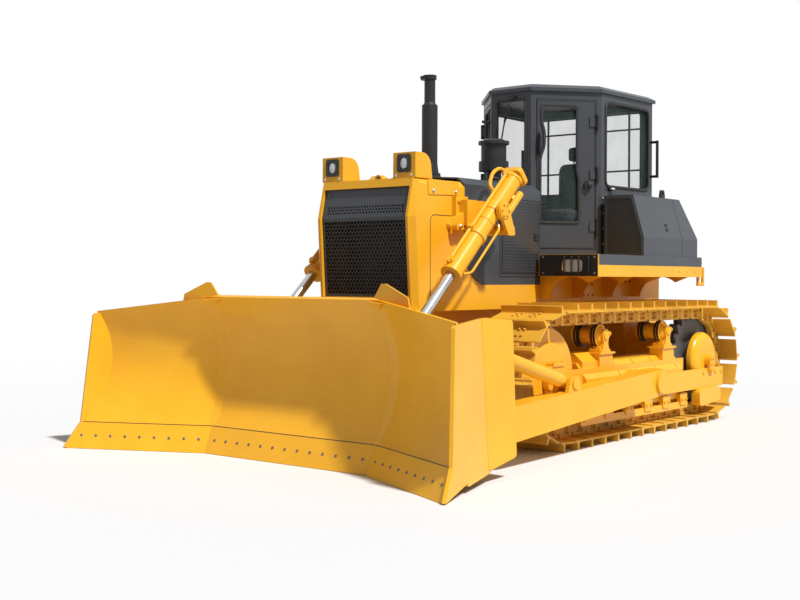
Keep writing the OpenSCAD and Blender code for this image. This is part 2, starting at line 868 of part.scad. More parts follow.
module pre_cleaner() {
    foot = boss_z + rest;
    neck = [66, 84];
    band = [130, 84];
    body = [110, 150];
    lid = [134, 26];
    color(black)
        placed() {
            bar_z(cleaner_x, cleaner_y, neck[0], foot, foot + neck[1] + bite);
            bar_z(cleaner_x, cleaner_y, band[0], foot + neck[1], foot + neck[1] + band[1]);
            bar_z(cleaner_x, cleaner_y, body[0], foot + neck[1], foot + neck[1] + band[1] + body[1]);
            bar_z(cleaner_x, cleaner_y, lid[0], foot + neck[1] + band[1] + body[1] - bite,
                foot + neck[1] + band[1] + body[1] + lid[1]);
            translate([cleaner_x, cleaner_y, foot + neck[1] + band[1] + body[1] + lid[1] - bite])
                cylinder(r1 = lid[0] - 12, r2 = lid[0] - 60, h = 22);
        }
}

// Frame along the left door's wall: X runs back along the wall, Y out of the cab
module door_wall() {
    translate([front_left[0], front_left[1], 0])
        rotate([0, 0, wall_turn])
            mirror([0, 1, 0])
                children();
}

module cab_frame() {
    color(grey)
        placed()
            difference() {
                union() {
                    difference() {
                        along_z(deck_z, roof_z)
                            polygon(cab_plan);
                        along_z(deck_z + cab_wall, roof_z + cut)
                            polygon(inset(cab_plan, cab_wall));
                    }
                    pair()
                        door_wall()
                            cab_knuckles();
                }
                pair()
                    door_wall()
                        block([door_start - gap, door_start + door_width + gap], [-cab_wall - cut, cut],
                            [door_z[0] - gap, door_z[1] + gap]);
                cab_windows(cut);
            }
}

// Hinge pieces of the left door, on the cab's corner
module cab_knuckles() {
    for (z = hinge_heights)
        for (d = [-66, 41])
            difference() {
                union() {
                    bar_z(hinge_u, hinge_v, hinge_r, z + d, z + d + 25);
                    block([hinge_u, hinge_u + 14], [-cab_wall / 2, hinge_v], [z + d, z + d + 25]);
                }
                bar_z(hinge_u, hinge_v, 5 + running, z + d - cut, z + d + cut);
            }
}
hinge_heights = [door_z[0] + 200, (door_z[0] + door_z[1]) / 2, door_z[1] - 200];

// Window openings of the cab, drawn through its walls by a reach past both faces
module cab_windows(reach) {
    side_run = norm([cab_corner_x - cab_rear_x, cab_corner_half - cab_rear_half]);
    side_turn = atan2(cab_rear_half - cab_corner_half, cab_rear_x - cab_corner_x);
    front_half = cab_front_half - 55;
    rear_half = cab_rear_half - 110;
    post = 70;
    along_x(cab_front_x - cab_wall / 2 - reach, cab_front_x - cab_wall / 2 + reach)
        polygon(soft([
            [-front_half, window_low_z], [front_half, window_low_z], [front_half, pane_top_z],
            [-front_half, pane_top_z]
        ], pane_r));
    along_x(cab_rear_x + cab_wall / 2 - reach, cab_rear_x + cab_wall / 2 + reach)
        polygon(soft([
            [-rear_half, window_low_z], [rear_half, window_low_z], [rear_half, pane_top_z],
            [-rear_half, pane_top_z]
        ], pane_r));
    pair()
        translate([corner_left[0], corner_left[1], 0])
            rotate([0, 0, side_turn])
                along_y(cab_wall / 2 - reach, cab_wall / 2 + reach)
                    polygon(soft([
                        [post, window_low_z], [side_run - post, window_low_z],
                        [side_run - post, pane_top_z], [post, pane_top_z]
                    ], pane_r * 1.5));
}

module cab_glass() {
    color(window)
        placed()
            cab_windows(glass / 2);
}

module cab_roof() {
    overhang = 22;
    bevel = 30;
    eye_r = 20;
    color(grey)
        placed() {
            hull() {
                along_z(roof_z + rest, roof_z + roof_thickness * 0.5)
                    polygon(inset(cab_plan, -overhang));
                along_z(roof_z + rest, roof_z + roof_thickness)
                    polygon(inset(cab_plan, bevel));
            }
            bar_z(cab_corner_x - 200, 0, eye_r, roof_z + roof_thickness - bite, roof_z + roof_thickness + eye_r);
        }
}

// Door on the left wall of the cab, in the wall's own frame
module door_panel() {
    pull = [door_start + 6, door_start + 28];
    latch_z = door_z[0] + 560;
    difference() {
        union() {
            block([door_start, door_start + door_width], [-cab_wall, 0], door_z);
            for (z = hinge_heights) {
                bar_z(hinge_u, hinge_v, hinge_r, z - 40, z + 40);
                block([hinge_u - 70, door_start + door_width], [-bite, hinge_v - 4], [z - 40, z + 40]);
                block([door_start + door_width - bite, hinge_u], [gap, hinge_v - 4], [z - 40, z + 40]);
            }
            for (z = hinge_heights)
                bar_z(hinge_u, hinge_v, 5, z - 64, z + 64);
            block(pull, [-bite, 26], [door_z[1] - door_head - 450, door_z[1] - door_head - 300]);
            block([door_start + door_width - 90, door_start + door_width - 40], [-bite, 30], [latch_z, latch_z + 60]);
        }
        door_window(cut);
    }
}

module door_window(reach) {
    low = door_z[0] + door_sill;
    high = door_z[1] - door_head;
    front = door_start + 32;
    rear = door_start + door_width * 0.72;
    notch = 40;
    grip = [high - 480, high - 370, high - 245, high - 150];
    along_y(-cab_wall / 2 - reach, -cab_wall / 2 + reach)
        polygon(soft([
            [front, low], [rear, low], [rear, low + 400], [rear - notch / 2, low + 470], [rear - notch / 2, high],
            [front + 12, high], [front + 12, grip[3]], [front + notch, grip[2]], [front + notch, grip[1]],
            [front, grip[0]]
        ], 20));
}

module door_left() {
    color(grey)
        placed()
            door_wall()
                door_panel();
}

module door_right() {
    color(grey)
        placed()
            handed(-1)
                door_wall()
                    door_panel();
}

module door_glass_left() {
    color(window)
        placed()
            door_wall()
                door_window(glass / 2);
}

module door_glass_right() {
    color(window)
        placed()
            handed(-1)
                door_wall()
                    door_window(glass / 2);
}

// Operator's seat
module seat() {
    floor_z = deck_z + cab_wall;
    high = cab_height * [0.175, 0.283, 0.66, 0.775];
    base = [cab_rear_x + 270, cab_rear_x + 640];
    base_half = 180;
    cushion_half = 250;
    arm_rest = [82, cab_height * 0.337, cab_height * 0.384];
    color(cloth)
        placed() {
            block(base, [-base_half, base_half], [floor_z + rest, floor_z + high[0] + bite]);
            block([base[0] - 30, base[1] + 120], [-cushion_half, cushion_half], [floor_z + high[0], floor_z + high[1]]);
            block([base[0] - 130, base[0]], [10 - cushion_half, cushion_half - 10],
                [floor_z + high[0] + 40, floor_z + high[2]]);
            block([base[0] - 120, base[0] - 30], [-base_half * 0.7, base_half * 0.7],
                [floor_z + high[2] - bite, floor_z + high[3]]);
            for (side = [-1, 1])
                handed(side) {
                    block(base, [cushion_half, cushion_half + arm_rest[0]],
                        [floor_z + arm_rest[1], floor_z + arm_rest[2]]);
                    block([base[0], base[0] + 90], [cushion_half - bite, cushion_half + arm_rest[0] / 2],
                        [floor_z + high[0] + 40, floor_z + arm_rest[1] + bite]);
                }
        }
}

// Dashboard and control levers
module console() {
    floor_z = deck_z + cab_wall;
    dash = [230, 140, cab_height * 0.377];
    pod_x = [cab_rear_x + 320, cab_rear_x + 600];
    pod_y = [360, 430];
    pod_high = cab_height * 0.323;
    lever = [14, 240];
    color(black)
        placed() {
            block([cab_front_x - cab_wall - dash[0], cab_front_x - cab_wall - rest], [-dash[1], dash[1]],
                [floor_z + rest, floor_z + dash[2]]);
            pair() {
                block(pod_x, pod_y, [floor_z + rest, floor_z + pod_high]);
                bar_z(pod_x[1] - 80, (pod_y[0] + pod_y[1]) / 2, lever[0], floor_z + pod_high - bite,
                    floor_z + pod_high + lever[1]);
            }
        }
}

// Fenders with their skirts, webs and supports
module fenders() {
    edge = fender_half + sheet * 1.5;
    web = 16;
    rib_count = 4;
    color(yellow)
        placed()
            pair() {
                difference() {
                    union() {
                        block([fender_rear_x, fender_front_x], [frame_y, fender_half], [deck_z - sheet, deck_z]);
                        block([fender_rear_x, fender_front_x], [fender_half - sheet, fender_half],
                            [rear_top_z, deck_z]);
                        block([fender_rear_x, fender_front_x], [fender_half - bite, edge], [rear_top_z, strip_z]);
                        block([fender_front_x - sheet, fender_front_x], [hood_half + 40, edge], [rear_top_z, deck_z]);
                        block([fender_rear_x, fender_rear_x + sheet], [frame_y, fender_half], [rear_top_z, deck_z]);
                        block([fender_rear_x + 250, hood_rear_x - gap], [frame_y, frame_y + web],
                            [frame_top_z + 60, deck_z]);
                        for (i = [0 : rib_count - 1])
                            fender_rib(fender_rear_x + 250 + i * (hood_rear_x - gap - fender_rear_x - 250 - web)
                                / (rib_count - 1), web);
                    }
                    block([hood_rear_x, fender_front_x + cut], [frame_y - cut, hood_half + 40],
                        [rear_top_z - cut, deck_z + cut]);
                    along_x(fender_front_x - cut, fender_front_x + cut)
                        polygon(soft(lamp_window, 30));
                }
                rear_handle();
            }
}

// Handle of round bar behind the fender
module rear_handle() {
    bar = 15;
    bend = 45;
    reach = 95;
    y = fender_half - 20;
    top = strip_z + 40;
    low = rear_top_z - 70;
    bar_x(y, top, bar, fender_rear_x - reach + bend, fender_rear_x + bite);
    translate([fender_rear_x - reach + bend, y, top - bend])
        rotate([90, -90, 0])
            rotate_extrude(angle = 90)
                translate([-bend, 0])
                    circle(r = bar);
    bar_z(fender_rear_x - reach, y, bar, low - bar, top - bend);
    bar_x(y, low, bar - 1, fender_rear_x - reach, fender_rear_x + sheet);
    bar_z(fender_rear_x + sheet, y, bar, low - bar, rear_top_z + bite);
}

module fender_rib(x, web) {
    low = frame_top_z + 60;
    hollow_r = 230;
    along_x(x, x + web)
        difference() {
            polygon([
                [frame_y, low], [frame_y, deck_z - bite], [fender_half - bite, deck_z - bite],
                [fender_half - bite, rear_top_z], [frame_y + 110, low]
            ]);
            translate([frame_y + 110 + hollow_r, rear_top_z - hollow_r])
                circle(r = hollow_r);
        }
}

// Boxes on the fenders beside the cab
module side_boxes() {
    rear_x = 24;
    front_x = 1121;
    shoulder = [fender_half - 107, deck_z + 165];
    seam_x = 349;
    groove = 6;
    inner = fender_half - box_width;
    color(grey)
        placed()
            pair() {
                difference() {
                    along_x(rear_x, front_x)
                        polygon([
                            [inner, deck_z + rest], [fender_half, deck_z + rest], [fender_half, shoulder[1]],
                            [shoulder[0], deck_z + box_height], [inner, deck_z + box_height]
                        ]);
                    along_y(0, big)
                        polygon([
                            [rear_x - cut, shoulder[1] + 18], [rear_x, shoulder[1] + 18],
                            [rear_x + 176, deck_z + box_height + bite], [rear_x - cut, deck_z + box_height + bite]
                        ]);
                    along_x(seam_x, seam_x + groove)
                        polygon([
                            [fender_half - groove, deck_z], [fender_half + cut, deck_z],
                            [fender_half + cut, shoulder[1]], [shoulder[0] + cut, deck_z + box_height + cut],
                            [shoulder[0] - groove, deck_z + box_height + cut],
                            [shoulder[0] - groove, deck_z + box_height - groove], [fender_half - groove, shoulder[1]]
                        ]);
                }
                block([fender_rear_x, fender_front_x - sheet], [fender_half + rest, fender_half + sheet],
                    [strip_z + rest, deck_z]);
            }
}

// Fuel tank behind the cab
module fuel_tank() {
    half = 640;
    rear_x = drawbar_x + 150;
    top_z = deck_z + box_height - 45;
    front_x = cab_rear_x - 20;
    color(yellow)
        placed()
            along_y(-half, half)
                polygon([
                    [front_x, deck_z + rest], [front_x, top_z], [rear_x + 140, top_z], [rear_x, top_z - 120],
                    [rear_x, rear_top_z + 80], [rear_x + 75, rear_top_z + rest],
                    [fender_rear_x - rest, rear_top_z + rest], [fender_rear_x - rest, deck_z + rest]
                ]);
}

// Grab rails at the cab's rear corners and the fenders' rear ends
module grab_rails() {
    bar = 14;
    reach = 75;
    span = [deck_z + cab_height * 0.525, deck_z + cab_height * 0.747];
    x = cab_rear_x + 40;
    wall_slope = (cab_rear_half - cab_corner_half) / (cab_corner_x - cab_rear_x);
    wall = cab_rear_half - (x - bar - cab_rear_x) * wall_slope + rest;
    plate = 20;
    color(black)
        placed()
            pair() {
                bar_z(x, cab_rear_half + reach, bar, span[0] - bar, span[1] + bar);
                for (z = span)
                    bar_y(x, z, bar - 1, wall, cab_rear_half + reach);
                along_y(fender_half - 160, fender_half - 160 + plate)
                    difference() {
                        polygon(soft([
                            [420, deck_z + box_height + rest], [520, deck_z + box_height + rest],
                            [500, deck_z + box_height + 78], [440, deck_z + box_height + 78]
                        ], 18));
                        translate([470, deck_z + box_height + 45])
                            circle(r = 16);
                    }
            }
}

// Drawbar with an upright pin hole
module drawbar() {
    low = belly_z + 60;
    high = low + 190;
    jaw = 90;
    color(yellow)
        placed()
            difference() {
                block([drawbar_x, case_rear_x], [-130, 130], [low, high]);
                block([drawbar_x - cut, drawbar_x + 150], [-130 - cut, 130 + cut],
                    [(low + high - jaw) / 2, (low + high + jaw) / 2]);
                bar_z(drawbar_x + 80, 0, drawbar_hole_r, low - cut, high + cut);
            }
}

// Yokes that hold the lift cylinders at the guard's sides
module lift_yokes() {
    pin_r = 40;
    hub_r = 78;
    foot = [guard_rear_x + 10, guard_rear_x + 170];
    low_z = lift_z - 120;
    color(yellow)
        placed()
            pair()
                difference() {
                    union() {
                        block(foot, [hood_half + rest, hood_half + 40], [low_z - 40, lift_z + 110]);
                        block([foot[0], foot[1] - 40], [hood_half + rest, yoke_inner], [low_z, lift_z + 80]);
                        for (y = [yoke_inner - yoke_plate, yoke_outer])
                            bar_y(lift_x, lift_z, hub_r, y, y + yoke_plate);
                        block([lift_x, foot[1] - 40], [yoke_inner - yoke_plate, yoke_inner],
                            [lift_z - hub_r, lift_z + hub_r]);
                        for (y = [yoke_inner - yoke_plate, yoke_outer])
                            along_y(y, y + yoke_plate)
                                polygon(soft([
                                    [lift_x - 160, lift_z - 195], [lift_x - 60, lift_z - 195],
                                    [lift_x + 55, lift_z - 20], [lift_x - 60, lift_z + 40]
                                ], 20));
                        bar_y(lift_x - 105, lift_z - 150, pin_r, yoke_inner - yoke_plate, yoke_outer + yoke_plate);
                    }
                    bar_y(lift_x, lift_z, pin_r + running, yoke_inner - yoke_plate - cut,
                        yoke_outer + yoke_plate + cut);
                }
}

// Round caps on the push arms' pivots
module trunnion_caps() {
    color(yellow)
        placed()
            pair()
                bar_y(trunnion_x, trunnion_z, trunnion_r + 20, cap_y, cap_y + 24);
}

// Turns a piece of the middle section into the left wing
module winged() {
    translate([chord_x, half_centre, 0])
        rotate([0, 0, -wing_angle])
            translate([-chord_x, -half_centre, 0])
                children();
}

// Space outside the middle section, past the left fold by a margin
module past_fold(margin) {
    translate([chord_x, half_centre, -big / 2])
        rotate([0, 0, -wing_angle / 2])
            translate([-big / 2, margin, 0])
                cube([big, big, big]);
}

// Space inside the left fold by a margin
module inside_fold(margin) {
    translate([chord_x, half_centre, -big / 2])
        rotate([0, 0, -wing_angle / 2])
            translate([-big / 2, margin - big, 0])
                cube([big, big, big]);
}

// Frame of the left end plate: X runs back along it, Y into the blade
module end_frame() {
    translate([tip[0], tip[1], 0])
        rotate([-end_lean, 0, 180 + end_toe])
            children();
}

// A section shape of the blade as a middle and two wings, apart at the folds and cut short at the ends
module blade_run(margin, short) {
    difference() {
        along_y(-half_centre - big / 8, half_centre + big / 8)
            children();
        pair()
            past_fold(-margin);
    }
    pair()
        difference() {
            winged()
                along_y(half_centre - big / 8, half_centre + wing_run + big / 8)
                    children();
            inside_fold(margin);
            end_frame()
                translate([-big / 2, short - big, -big / 2])
                    cube([big, big, big]);
        }
}

module cutting_edge() {
    nose = [edge_x, edge_z];
    head = [chord_x, edge_top_z];
    back = head - edge_plate * [cos(edge_tilt), sin(edge_tilt)];
    heel = [back[0] + (back[1] - edge_z) * edge_slope, edge_z];
    color(yellow)
        placed()
            blade_run(edge_seam, mold_plate + rest)
                polygon([nose, head, back, heel]);
}

// Moldboard with its back beams, end plates and eyes for the arms and cylinders
module blade() {
    head = [chord_x, edge_top_z];
    back = head - (edge_plate + rest) * [cos(edge_tilt), sin(edge_tilt)];
    low = [back[0] + (back[1] - 70) * edge_slope, 70];
    deep = mold_plate * [cos(edge_tilt), sin(edge_tilt)];
    color(yellow)
        placed() {
            difference() {
                union() {
                    blade_run(fold_gap, end_bite)
                        mold_section(0, mold_plate);
                    pair()
                        fold_strip();
                }
                block([chord_x - big / 4, chord_x + big / 4], [-big, big], [0, edge_top_z + rest]);
                pair()
                    winged()
                        translate([0, half_centre, blade_top_z])
                            rotate([-atan(wing_fall / wing_run), 0, 0])
                                cube([2 * big, big, big]);
            }
            blade_run(fold_gap, end_bite)
                polygon([back, low, low - deep, back - deep, back - deep + [0, 90]]);
            block(back_x, [-fold_at[1] + bite, fold_at[1] - bite], back_z);
            bar_x(0, arm_eye_z, 60, back_x[0] - 60, back_x[0] + bite);
            pair()
                blade_side();
        }
}

// Strip over the fold between the middle and the left wing
module fold_strip() {
    translate([chord_x, half_centre, 0])
        rotate([0, 0, -wing_angle / 2])
            translate([-chord_x, 0, 0])
                along_y(-strip_half, strip_half)
                    mold_section(-strip_rise, mold_plate + strip_rise);
}

// Curve of the moldboard between two depths behind its face
module mold_section(face, rear) {
    sweep = asin(mold_rise / 2 / mold_r);
    steps = 20;
    polygon([
        for (i = [0 : steps])
            mold_middle - (mold_r + face) * [cos(sweep * (2 * i / steps - 1)), sin(sweep * (2 * i / steps - 1))],
        for (i = [steps : -1 : 0])
            mold_middle - (mold_r + rear) * [cos(sweep * (2 * i / steps - 1)), sin(sweep * (2 * i / steps - 1))]
    ]);
}

// Place of the moldboard's face at a height, moved back by a depth
function mold_x(z, depth) = mold_middle[0] - sqrt(pow(mold_r + depth, 2) - pow(z - mold_middle[1], 2));

// What stands behind the left half of the moldboard
module blade_side() {
    edge_run = edge_lean / cos(wing_angle - end_toe);
    strip = 50;
    round_r = 28;
    end_frame()
        along_y(0, mold_plate)
            polygon(concat(
                soft([
                    [222, end_top_z + 8], [end_fold - fold_run + strip, end_top_z + 40],
                    [end_fold + strip, edge_z + 70], [end_fold - 60, edge_z + 60], [end_fold / 2, edge_z + 42]
                ], round_r),
                [[edge_run / 4, edge_z + 8], [2, edge_z + 8], [138, edge_top_z]]
            ));
    along_y(fold_at[1] - mold_plate, fold_at[1])
        polygon(soft([
            [end_rear_x, edge_z + 140], [fold_at[0] + bite, edge_z + 80],
            [fold_at[0] + bite + fold_run * cos(end_toe), end_top_z + 42], [end_rear_x + 55, end_top_z + 18]
        ], round_r));
    spill_gusset();
    along_z(upper_z[0], upper_z[1])
        polygon([
            [back_x[0] + 15, half_centre], [back_x[1] - 40, half_centre],
            [back_x[1] + 50, half_centre + 190], [back_x[1] + 50, fold_at[1] - bite],
            [back_x[0] + 90, fold_at[1] - bite], [back_x[0] + 90, half_centre + 120]
        ]);
    for (z = [back_z[1] - mold_plate, upper_z[1] - mold_plate])
        along_z(z, z + mold_plate)
            polygon([
                [web_x, half_centre], wing_at(0, web_depth), wing_at(web_run, web_depth),
                [web_x, wing_at(web_run, web_depth)[1]]
            ]);
    for (y = [-1, 1])
        lift_ear(lift_y + y * (eye_half + eye_play + mold_plate / 2));
    for (y = [-1, 1])
        arm_ear(arm_y + y * (arm_width / 2 + arm_play + mold_plate / 2));
    bar_y(arm_eye_x, arm_eye_z, 28, arm_y0 - arm_play - bite, arm_y0 - running);
    for (y = [-1, 1])
        brace_ear(arm_y + y * (eye_half + brace_play + mold_plate / 2));
}

// Bent plate on the moldboard's top beside the left fold
module spill_gusset() {
    lean = 8;
    ridge = [75, 112];
    far = 315;
    side = 42;
    root = 30;
    plate = 14;
    translate([chord_x - mold_plate, half_centre, blade_top_z])
        rotate([0, 0, -lean])
            along_y_of(plate)
                polygon([
                    [-side - 30, -root], [far, -root - 40], [far - 20, 20], ridge, ridge - [side, 0]
                ]);
}

// Plate in the YZ plane, drawn by its Y and Z
module along_y_of(plate) {
    rotate([90, 0, 90])
        linear_extrude(plate)
            children();
}

function wing_at(t, depth) =
    [chord_x, half_centre] + t * [sin(wing_angle), cos(wing_angle)] - depth * [cos(wing_angle), -sin(wing_angle)];

module lift_ear(y) {
    top = lift_eye[1] + 170;
    low = back_z[1] - bite;
    along_y(y - mold_plate / 2, y + mold_plate / 2)
        polygon([
            [back_x[0] + 20, low],
            for (i = [0 : 6])
                [mold_x(low + (top - low) * i / 6, mold_plate / 2), low + (top - low) * i / 6],
            lift_eye + [0, 75], lift_eye + [-75, 0], lift_eye + [-30, -75]
        ]);
}

module arm_ear(y) {
    along_y(y - mold_plate / 2, y + mold_plate / 2)
        polygon([
            [back_x[0] + bite, back_z[0]], [back_x[0] + bite, back_z[1]], [arm_eye_x - 20, arm_eye_z + 95],
            [arm_eye_x - 80, arm_eye_z], [arm_eye_x - 20, arm_eye_z - 95]
        ]);
}

module brace_ear(y) {
    along_y(y - mold_plate / 2, y + mold_plate / 2)
        polygon([
            [back_x[0] + 100, upper_z[0] + 5], [back_x[0] + 100, upper_z[1] - 5], brace_eye + [-20, 65],
            brace_eye + [-65, 0], brace_eye + [-20, -65]
        ]);
}

// Push arm of one side, with its bore, its front eye and the foot of its brace
module push_arm() {
    rear_x = arm_rear[0];
    ear = 30;
    difference() {
        union() {
            along_y(arm_y0, arm_y1)
                polygon([
                    [rear_x, trunnion_z - 108], arm_rear, arm_front,
                    [arm_eye_x, arm_eye_z + 70], [arm_eye_x, arm_eye_z - 70], [arm_front[0], arm_eye_z - 127]
                ]);
            bar_y(arm_eye_x, arm_eye_z, 80, arm_y0, arm_y1);
            for (y = [arm_y0 + 10, arm_y1 - 10 - ear])
                along_y(y, y + ear)
                    polygon(soft([
                        brace_foot + [-120, -100], brace_foot + [-60, 55], brace_foot + [55, 55],
                        brace_foot + [110, -100]
                    ], 30));
            for (y = [arm_y0 - 4, arm_y1 - 10 - bite])
                bar_y(brace_foot[0], brace_foot[1], 42, y, y + 16);
        }
        bar_y(trunnion_x, trunnion_z, trunnion_r + running, arm_y0 - cut, arm_y1 + cut);
    }
}

module push_arm_left() {
    color(yellow)
        placed()
            push_arm();
}

module push_arm_right() {
    color(yellow)
        placed()
            handed(-1)
                push_arm();
}

// Frame of the brace: X runs from its foot to its eye
module brace_frame() {
    translate([brace_foot[0], arm_y, brace_foot[1]])
        rotate([0, -brace_rise, 0])
            children();
}

// Brace between the left arm and the blade
module brace() {
    color(yellow)
        placed()
            brace_frame() {
                bar_x(0, 0, brace_neck, 0, brace_run);
                bar_x(0, 0, 54, 130, brace_run - 130);
                bar_y(0, 0, 50, rest - brace_seat, brace_seat - rest);
                bar_y(brace_run, 0, 50, -eye_half, eye_half);
            }
}

// Tilt cylinder between the right arm and the blade
module tilt_barrel() {
    color(yellow)
        placed()
            handed(-1)
                brace_frame()
                    difference() {
                        union() {
                            bar_x(0, 0, 68, 140, tilt_head);
                            bar_x(0, 0, brace_neck, 0, 150);
                            bar_y(0, 0, 50, rest - brace_seat, brace_seat - rest);
                        }
                        bar_x(0, 0, brace_neck + running, 300, tilt_head + cut);
                    }
}

module tilt_rod() {
    color(chrome)
        placed()
            handed(-1)
                brace_frame() {
                    bar_x(0, 0, brace_neck, 400, brace_run);
                    bar_y(brace_run, 0, 50, -eye_half, eye_half);
                }
}

// Frame of a lift cylinder: X runs from its pivot to its rod's eye
module lift_frame() {
    translate([lift_x, lift_y, lift_z])
        rotate([0, -lift_rise, 0])
            children();
}

module lift_barrel() {
    pin_r = 40;
    rim = [6, 40];
    port = [26, barrel_r + 34];
    lift_frame()
        difference() {
            union() {
                bar_x(0, 0, barrel_r, -barrel_head, barrel_nose);
                bar_x(0, 0, barrel_r + rim[0], -rim[1], rim[1]);
                bar_x(0, 0, barrel_r + rim[0], -barrel_head - bite, rim[1] - barrel_head);
                bar_x(0, 0, barrel_r + rim[0], barrel_nose - rim[1], barrel_nose + bite);
                bar_y(0, 0, pin_r, -barrel_r - 8 - yoke_plate, barrel_r + 8 + yoke_plate);
                for (x = [rim[1] - barrel_head - port[0] / 2, barrel_nose - rim[1] - 60])
                    bar_z(x + port[0], 0, port[0], 0, port[1]);
                bar_x(0, port[1] - port[0] / 2, port[0] * 0.55, rim[1] - barrel_head, barrel_nose - rim[1]);
            }
            bar_x(0, 0, rod_r + running, 20 - barrel_head, barrel_nose + cut);
        }
}

module lift_rod() {
    lift_frame() {
        bar_x(0, 0, rod_r, barrel_nose - rod_inside, lift_run);
        bar_y(lift_run, 0, eye_r, -eye_half, eye_half);
    }
}

module lift_barrel_left() {
    color(yellow)
        placed()
            lift_barrel();
}

module lift_barrel_right() {
    color(yellow)
        placed()
            handed(-1)
                lift_barrel();
}

module lift_rod_left() {
    color(chrome)
        placed()
            lift_rod();
}

module lift_rod_right() {
    color(chrome)
        placed()
            handed(-1)
                lift_rod();
}

main_frame();
engine_block();
radiator_guard();
grille();
hood();
side_panels();
lamp_boxes();
lamps();
exhaust_stack();
pre_cleaner();
cab_frame();
cab_roof();
cab_glass();
seat();
console();
fenders();
side_boxes();
fuel_tank();
grab_rails();
track_frames();
track_left();
track_right();
sprockets();
final_drives();
idlers();
carrier_rollers();
track_rollers();
drawbar();
lift_yokes();
trunnion_caps();
blade();
cutting_edge();
push_arm_left();
push_arm_right();
brace();
tilt_barrel();
tilt_rod();
lift_barrel_left();
lift_barrel_right();
lift_rod_left();
lift_rod_right();
door_left();
door_right();
door_glass_left();
door_glass_right();
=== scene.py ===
# %% [markdown]
# A crawler bulldozer in Blender.
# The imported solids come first, as a fixed frame: every plate and pin is already where it belongs.
# So this lesson only adds what solids are poor at: paint, rubber, glass, chain links, mesh, hoses and bolts.
# Lengths are metres. X points forward to the blade, Y to the machine's left and Z up from the ground.

# %% Load the frame
import math

import bmesh
import bpy
import numpy as np
from mathutils import Matrix


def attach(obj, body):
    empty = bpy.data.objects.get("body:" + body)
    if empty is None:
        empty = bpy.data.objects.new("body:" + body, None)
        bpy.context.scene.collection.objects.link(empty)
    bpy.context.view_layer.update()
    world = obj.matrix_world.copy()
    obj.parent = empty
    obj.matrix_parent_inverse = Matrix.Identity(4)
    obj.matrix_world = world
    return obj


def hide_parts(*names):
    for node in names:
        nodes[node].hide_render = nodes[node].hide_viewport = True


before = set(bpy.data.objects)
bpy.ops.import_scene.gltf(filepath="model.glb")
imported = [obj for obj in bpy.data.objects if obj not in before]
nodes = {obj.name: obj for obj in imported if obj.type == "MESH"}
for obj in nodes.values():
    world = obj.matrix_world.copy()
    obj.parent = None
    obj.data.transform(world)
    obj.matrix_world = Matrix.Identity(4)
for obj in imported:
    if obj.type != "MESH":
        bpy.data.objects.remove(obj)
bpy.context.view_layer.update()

# %% [markdown]
# Two small sums come back everywhere: the angles of a full turn, and vectors of length one.

# %% Angles and unit vectors
def around(sides):
    """Evenly spaced angles of one full turn."""
    return np.linspace(0, 2 * np.pi, sides, endpoint=False)


def unit(vectors):
    """Vectors divided by their own lengths."""
    vectors = np.asarray(vectors, float)
    return vectors / np.linalg.norm(vectors, axis=-1, keepdims=True)


# %% [markdown]
# The camera stands low, ahead of the blade and to the machine's left, about eight metres from it.
# A camera object looks along its own -Z, so its matrix is built from the viewing direction. The small lens
# shift puts the optical axis where it lies in the picture, a little left of the middle and above it.

# %% Camera
IMAGE = np.array([800.0, 600.0])
AXIS_PIXEL = np.array([390.97, 281.6])
FOCAL_PIXELS = 1213.7
EYE = np.array([8.657, 6.114, 1.353])
YAW, PITCH, ROLL = np.radians([218.936, -0.228, 0.246])
SENSOR_MM = 36.0


def camera_axes(yaw, pitch, roll):
    """Right, up and backward axes: the view from two angles, then right and up turned by the roll."""
    flat = math.cos(pitch)
    ahead = np.array([math.cos(yaw) * flat, math.sin(yaw) * flat, math.sin(pitch)])
    right = unit(np.cross(ahead, [0, 0, 1]))
    up = np.cross(right, ahead)
    cos, sin = math.cos(roll), math.sin(roll)
    return np.array([cos * right + sin * up, cos * up - sin * right, -ahead])


scene = bpy.context.scene
optics = bpy.data.cameras.new("camera")
camera = bpy.data.objects.new("camera", optics)
scene.collection.objects.link(camera)
pose = np.eye(4)
pose[:3, :3] = camera_axes(YAW, PITCH, ROLL).T
pose[:3, 3] = EYE
camera.matrix_world = Matrix(pose.tolist())
optics.sensor_width = SENSOR_MM
optics.lens = FOCAL_PIXELS / IMAGE[0] * SENSOR_MM
optics.shift_x = (IMAGE[0] / 2 - AXIS_PIXEL[0]) / IMAGE[0]
optics.shift_y = (AXIS_PIXEL[1] - IMAGE[1] / 2) / IMAGE[0]
optics.clip_end = 200.0
scene.camera = camera
print("camera lens", round(optics.lens, 1), "mm")

# %% [markdown]
# Shader sums read best as Python expressions. Wire wraps one socket, and its operators add Math nodes, so
# that 1 - mask * 0.5 works as it is written. Finish holds one material, and its node() method makes any
# other node from its settings and from values or wires for its sockets.

# %% Wire and Finish
class Wire:
    """One output socket of a finish, usable in sums and products."""

    def __init__(self, finish, socket):
        self.finish, self.socket = finish, socket

    def math(self, operation, first, second):
        return self.finish.node("Math", {0: first, 1: second}, operation=operation, use_clamp=False)

    def __add__(self, other):
        return self.math("ADD", self, other)

    def __rsub__(self, other):
        return self.math("SUBTRACT", other, self)

    def __mul__(self, other):
        return self.math("MULTIPLY", self, other)

    def ramp(self, low, high):
        """0 below low and 1 above high, smooth between them."""
        return self.finish.node("MapRange", {"Value": self, "From Min": low, "From Max": high},
                                interpolation_type="SMOOTHSTEP")


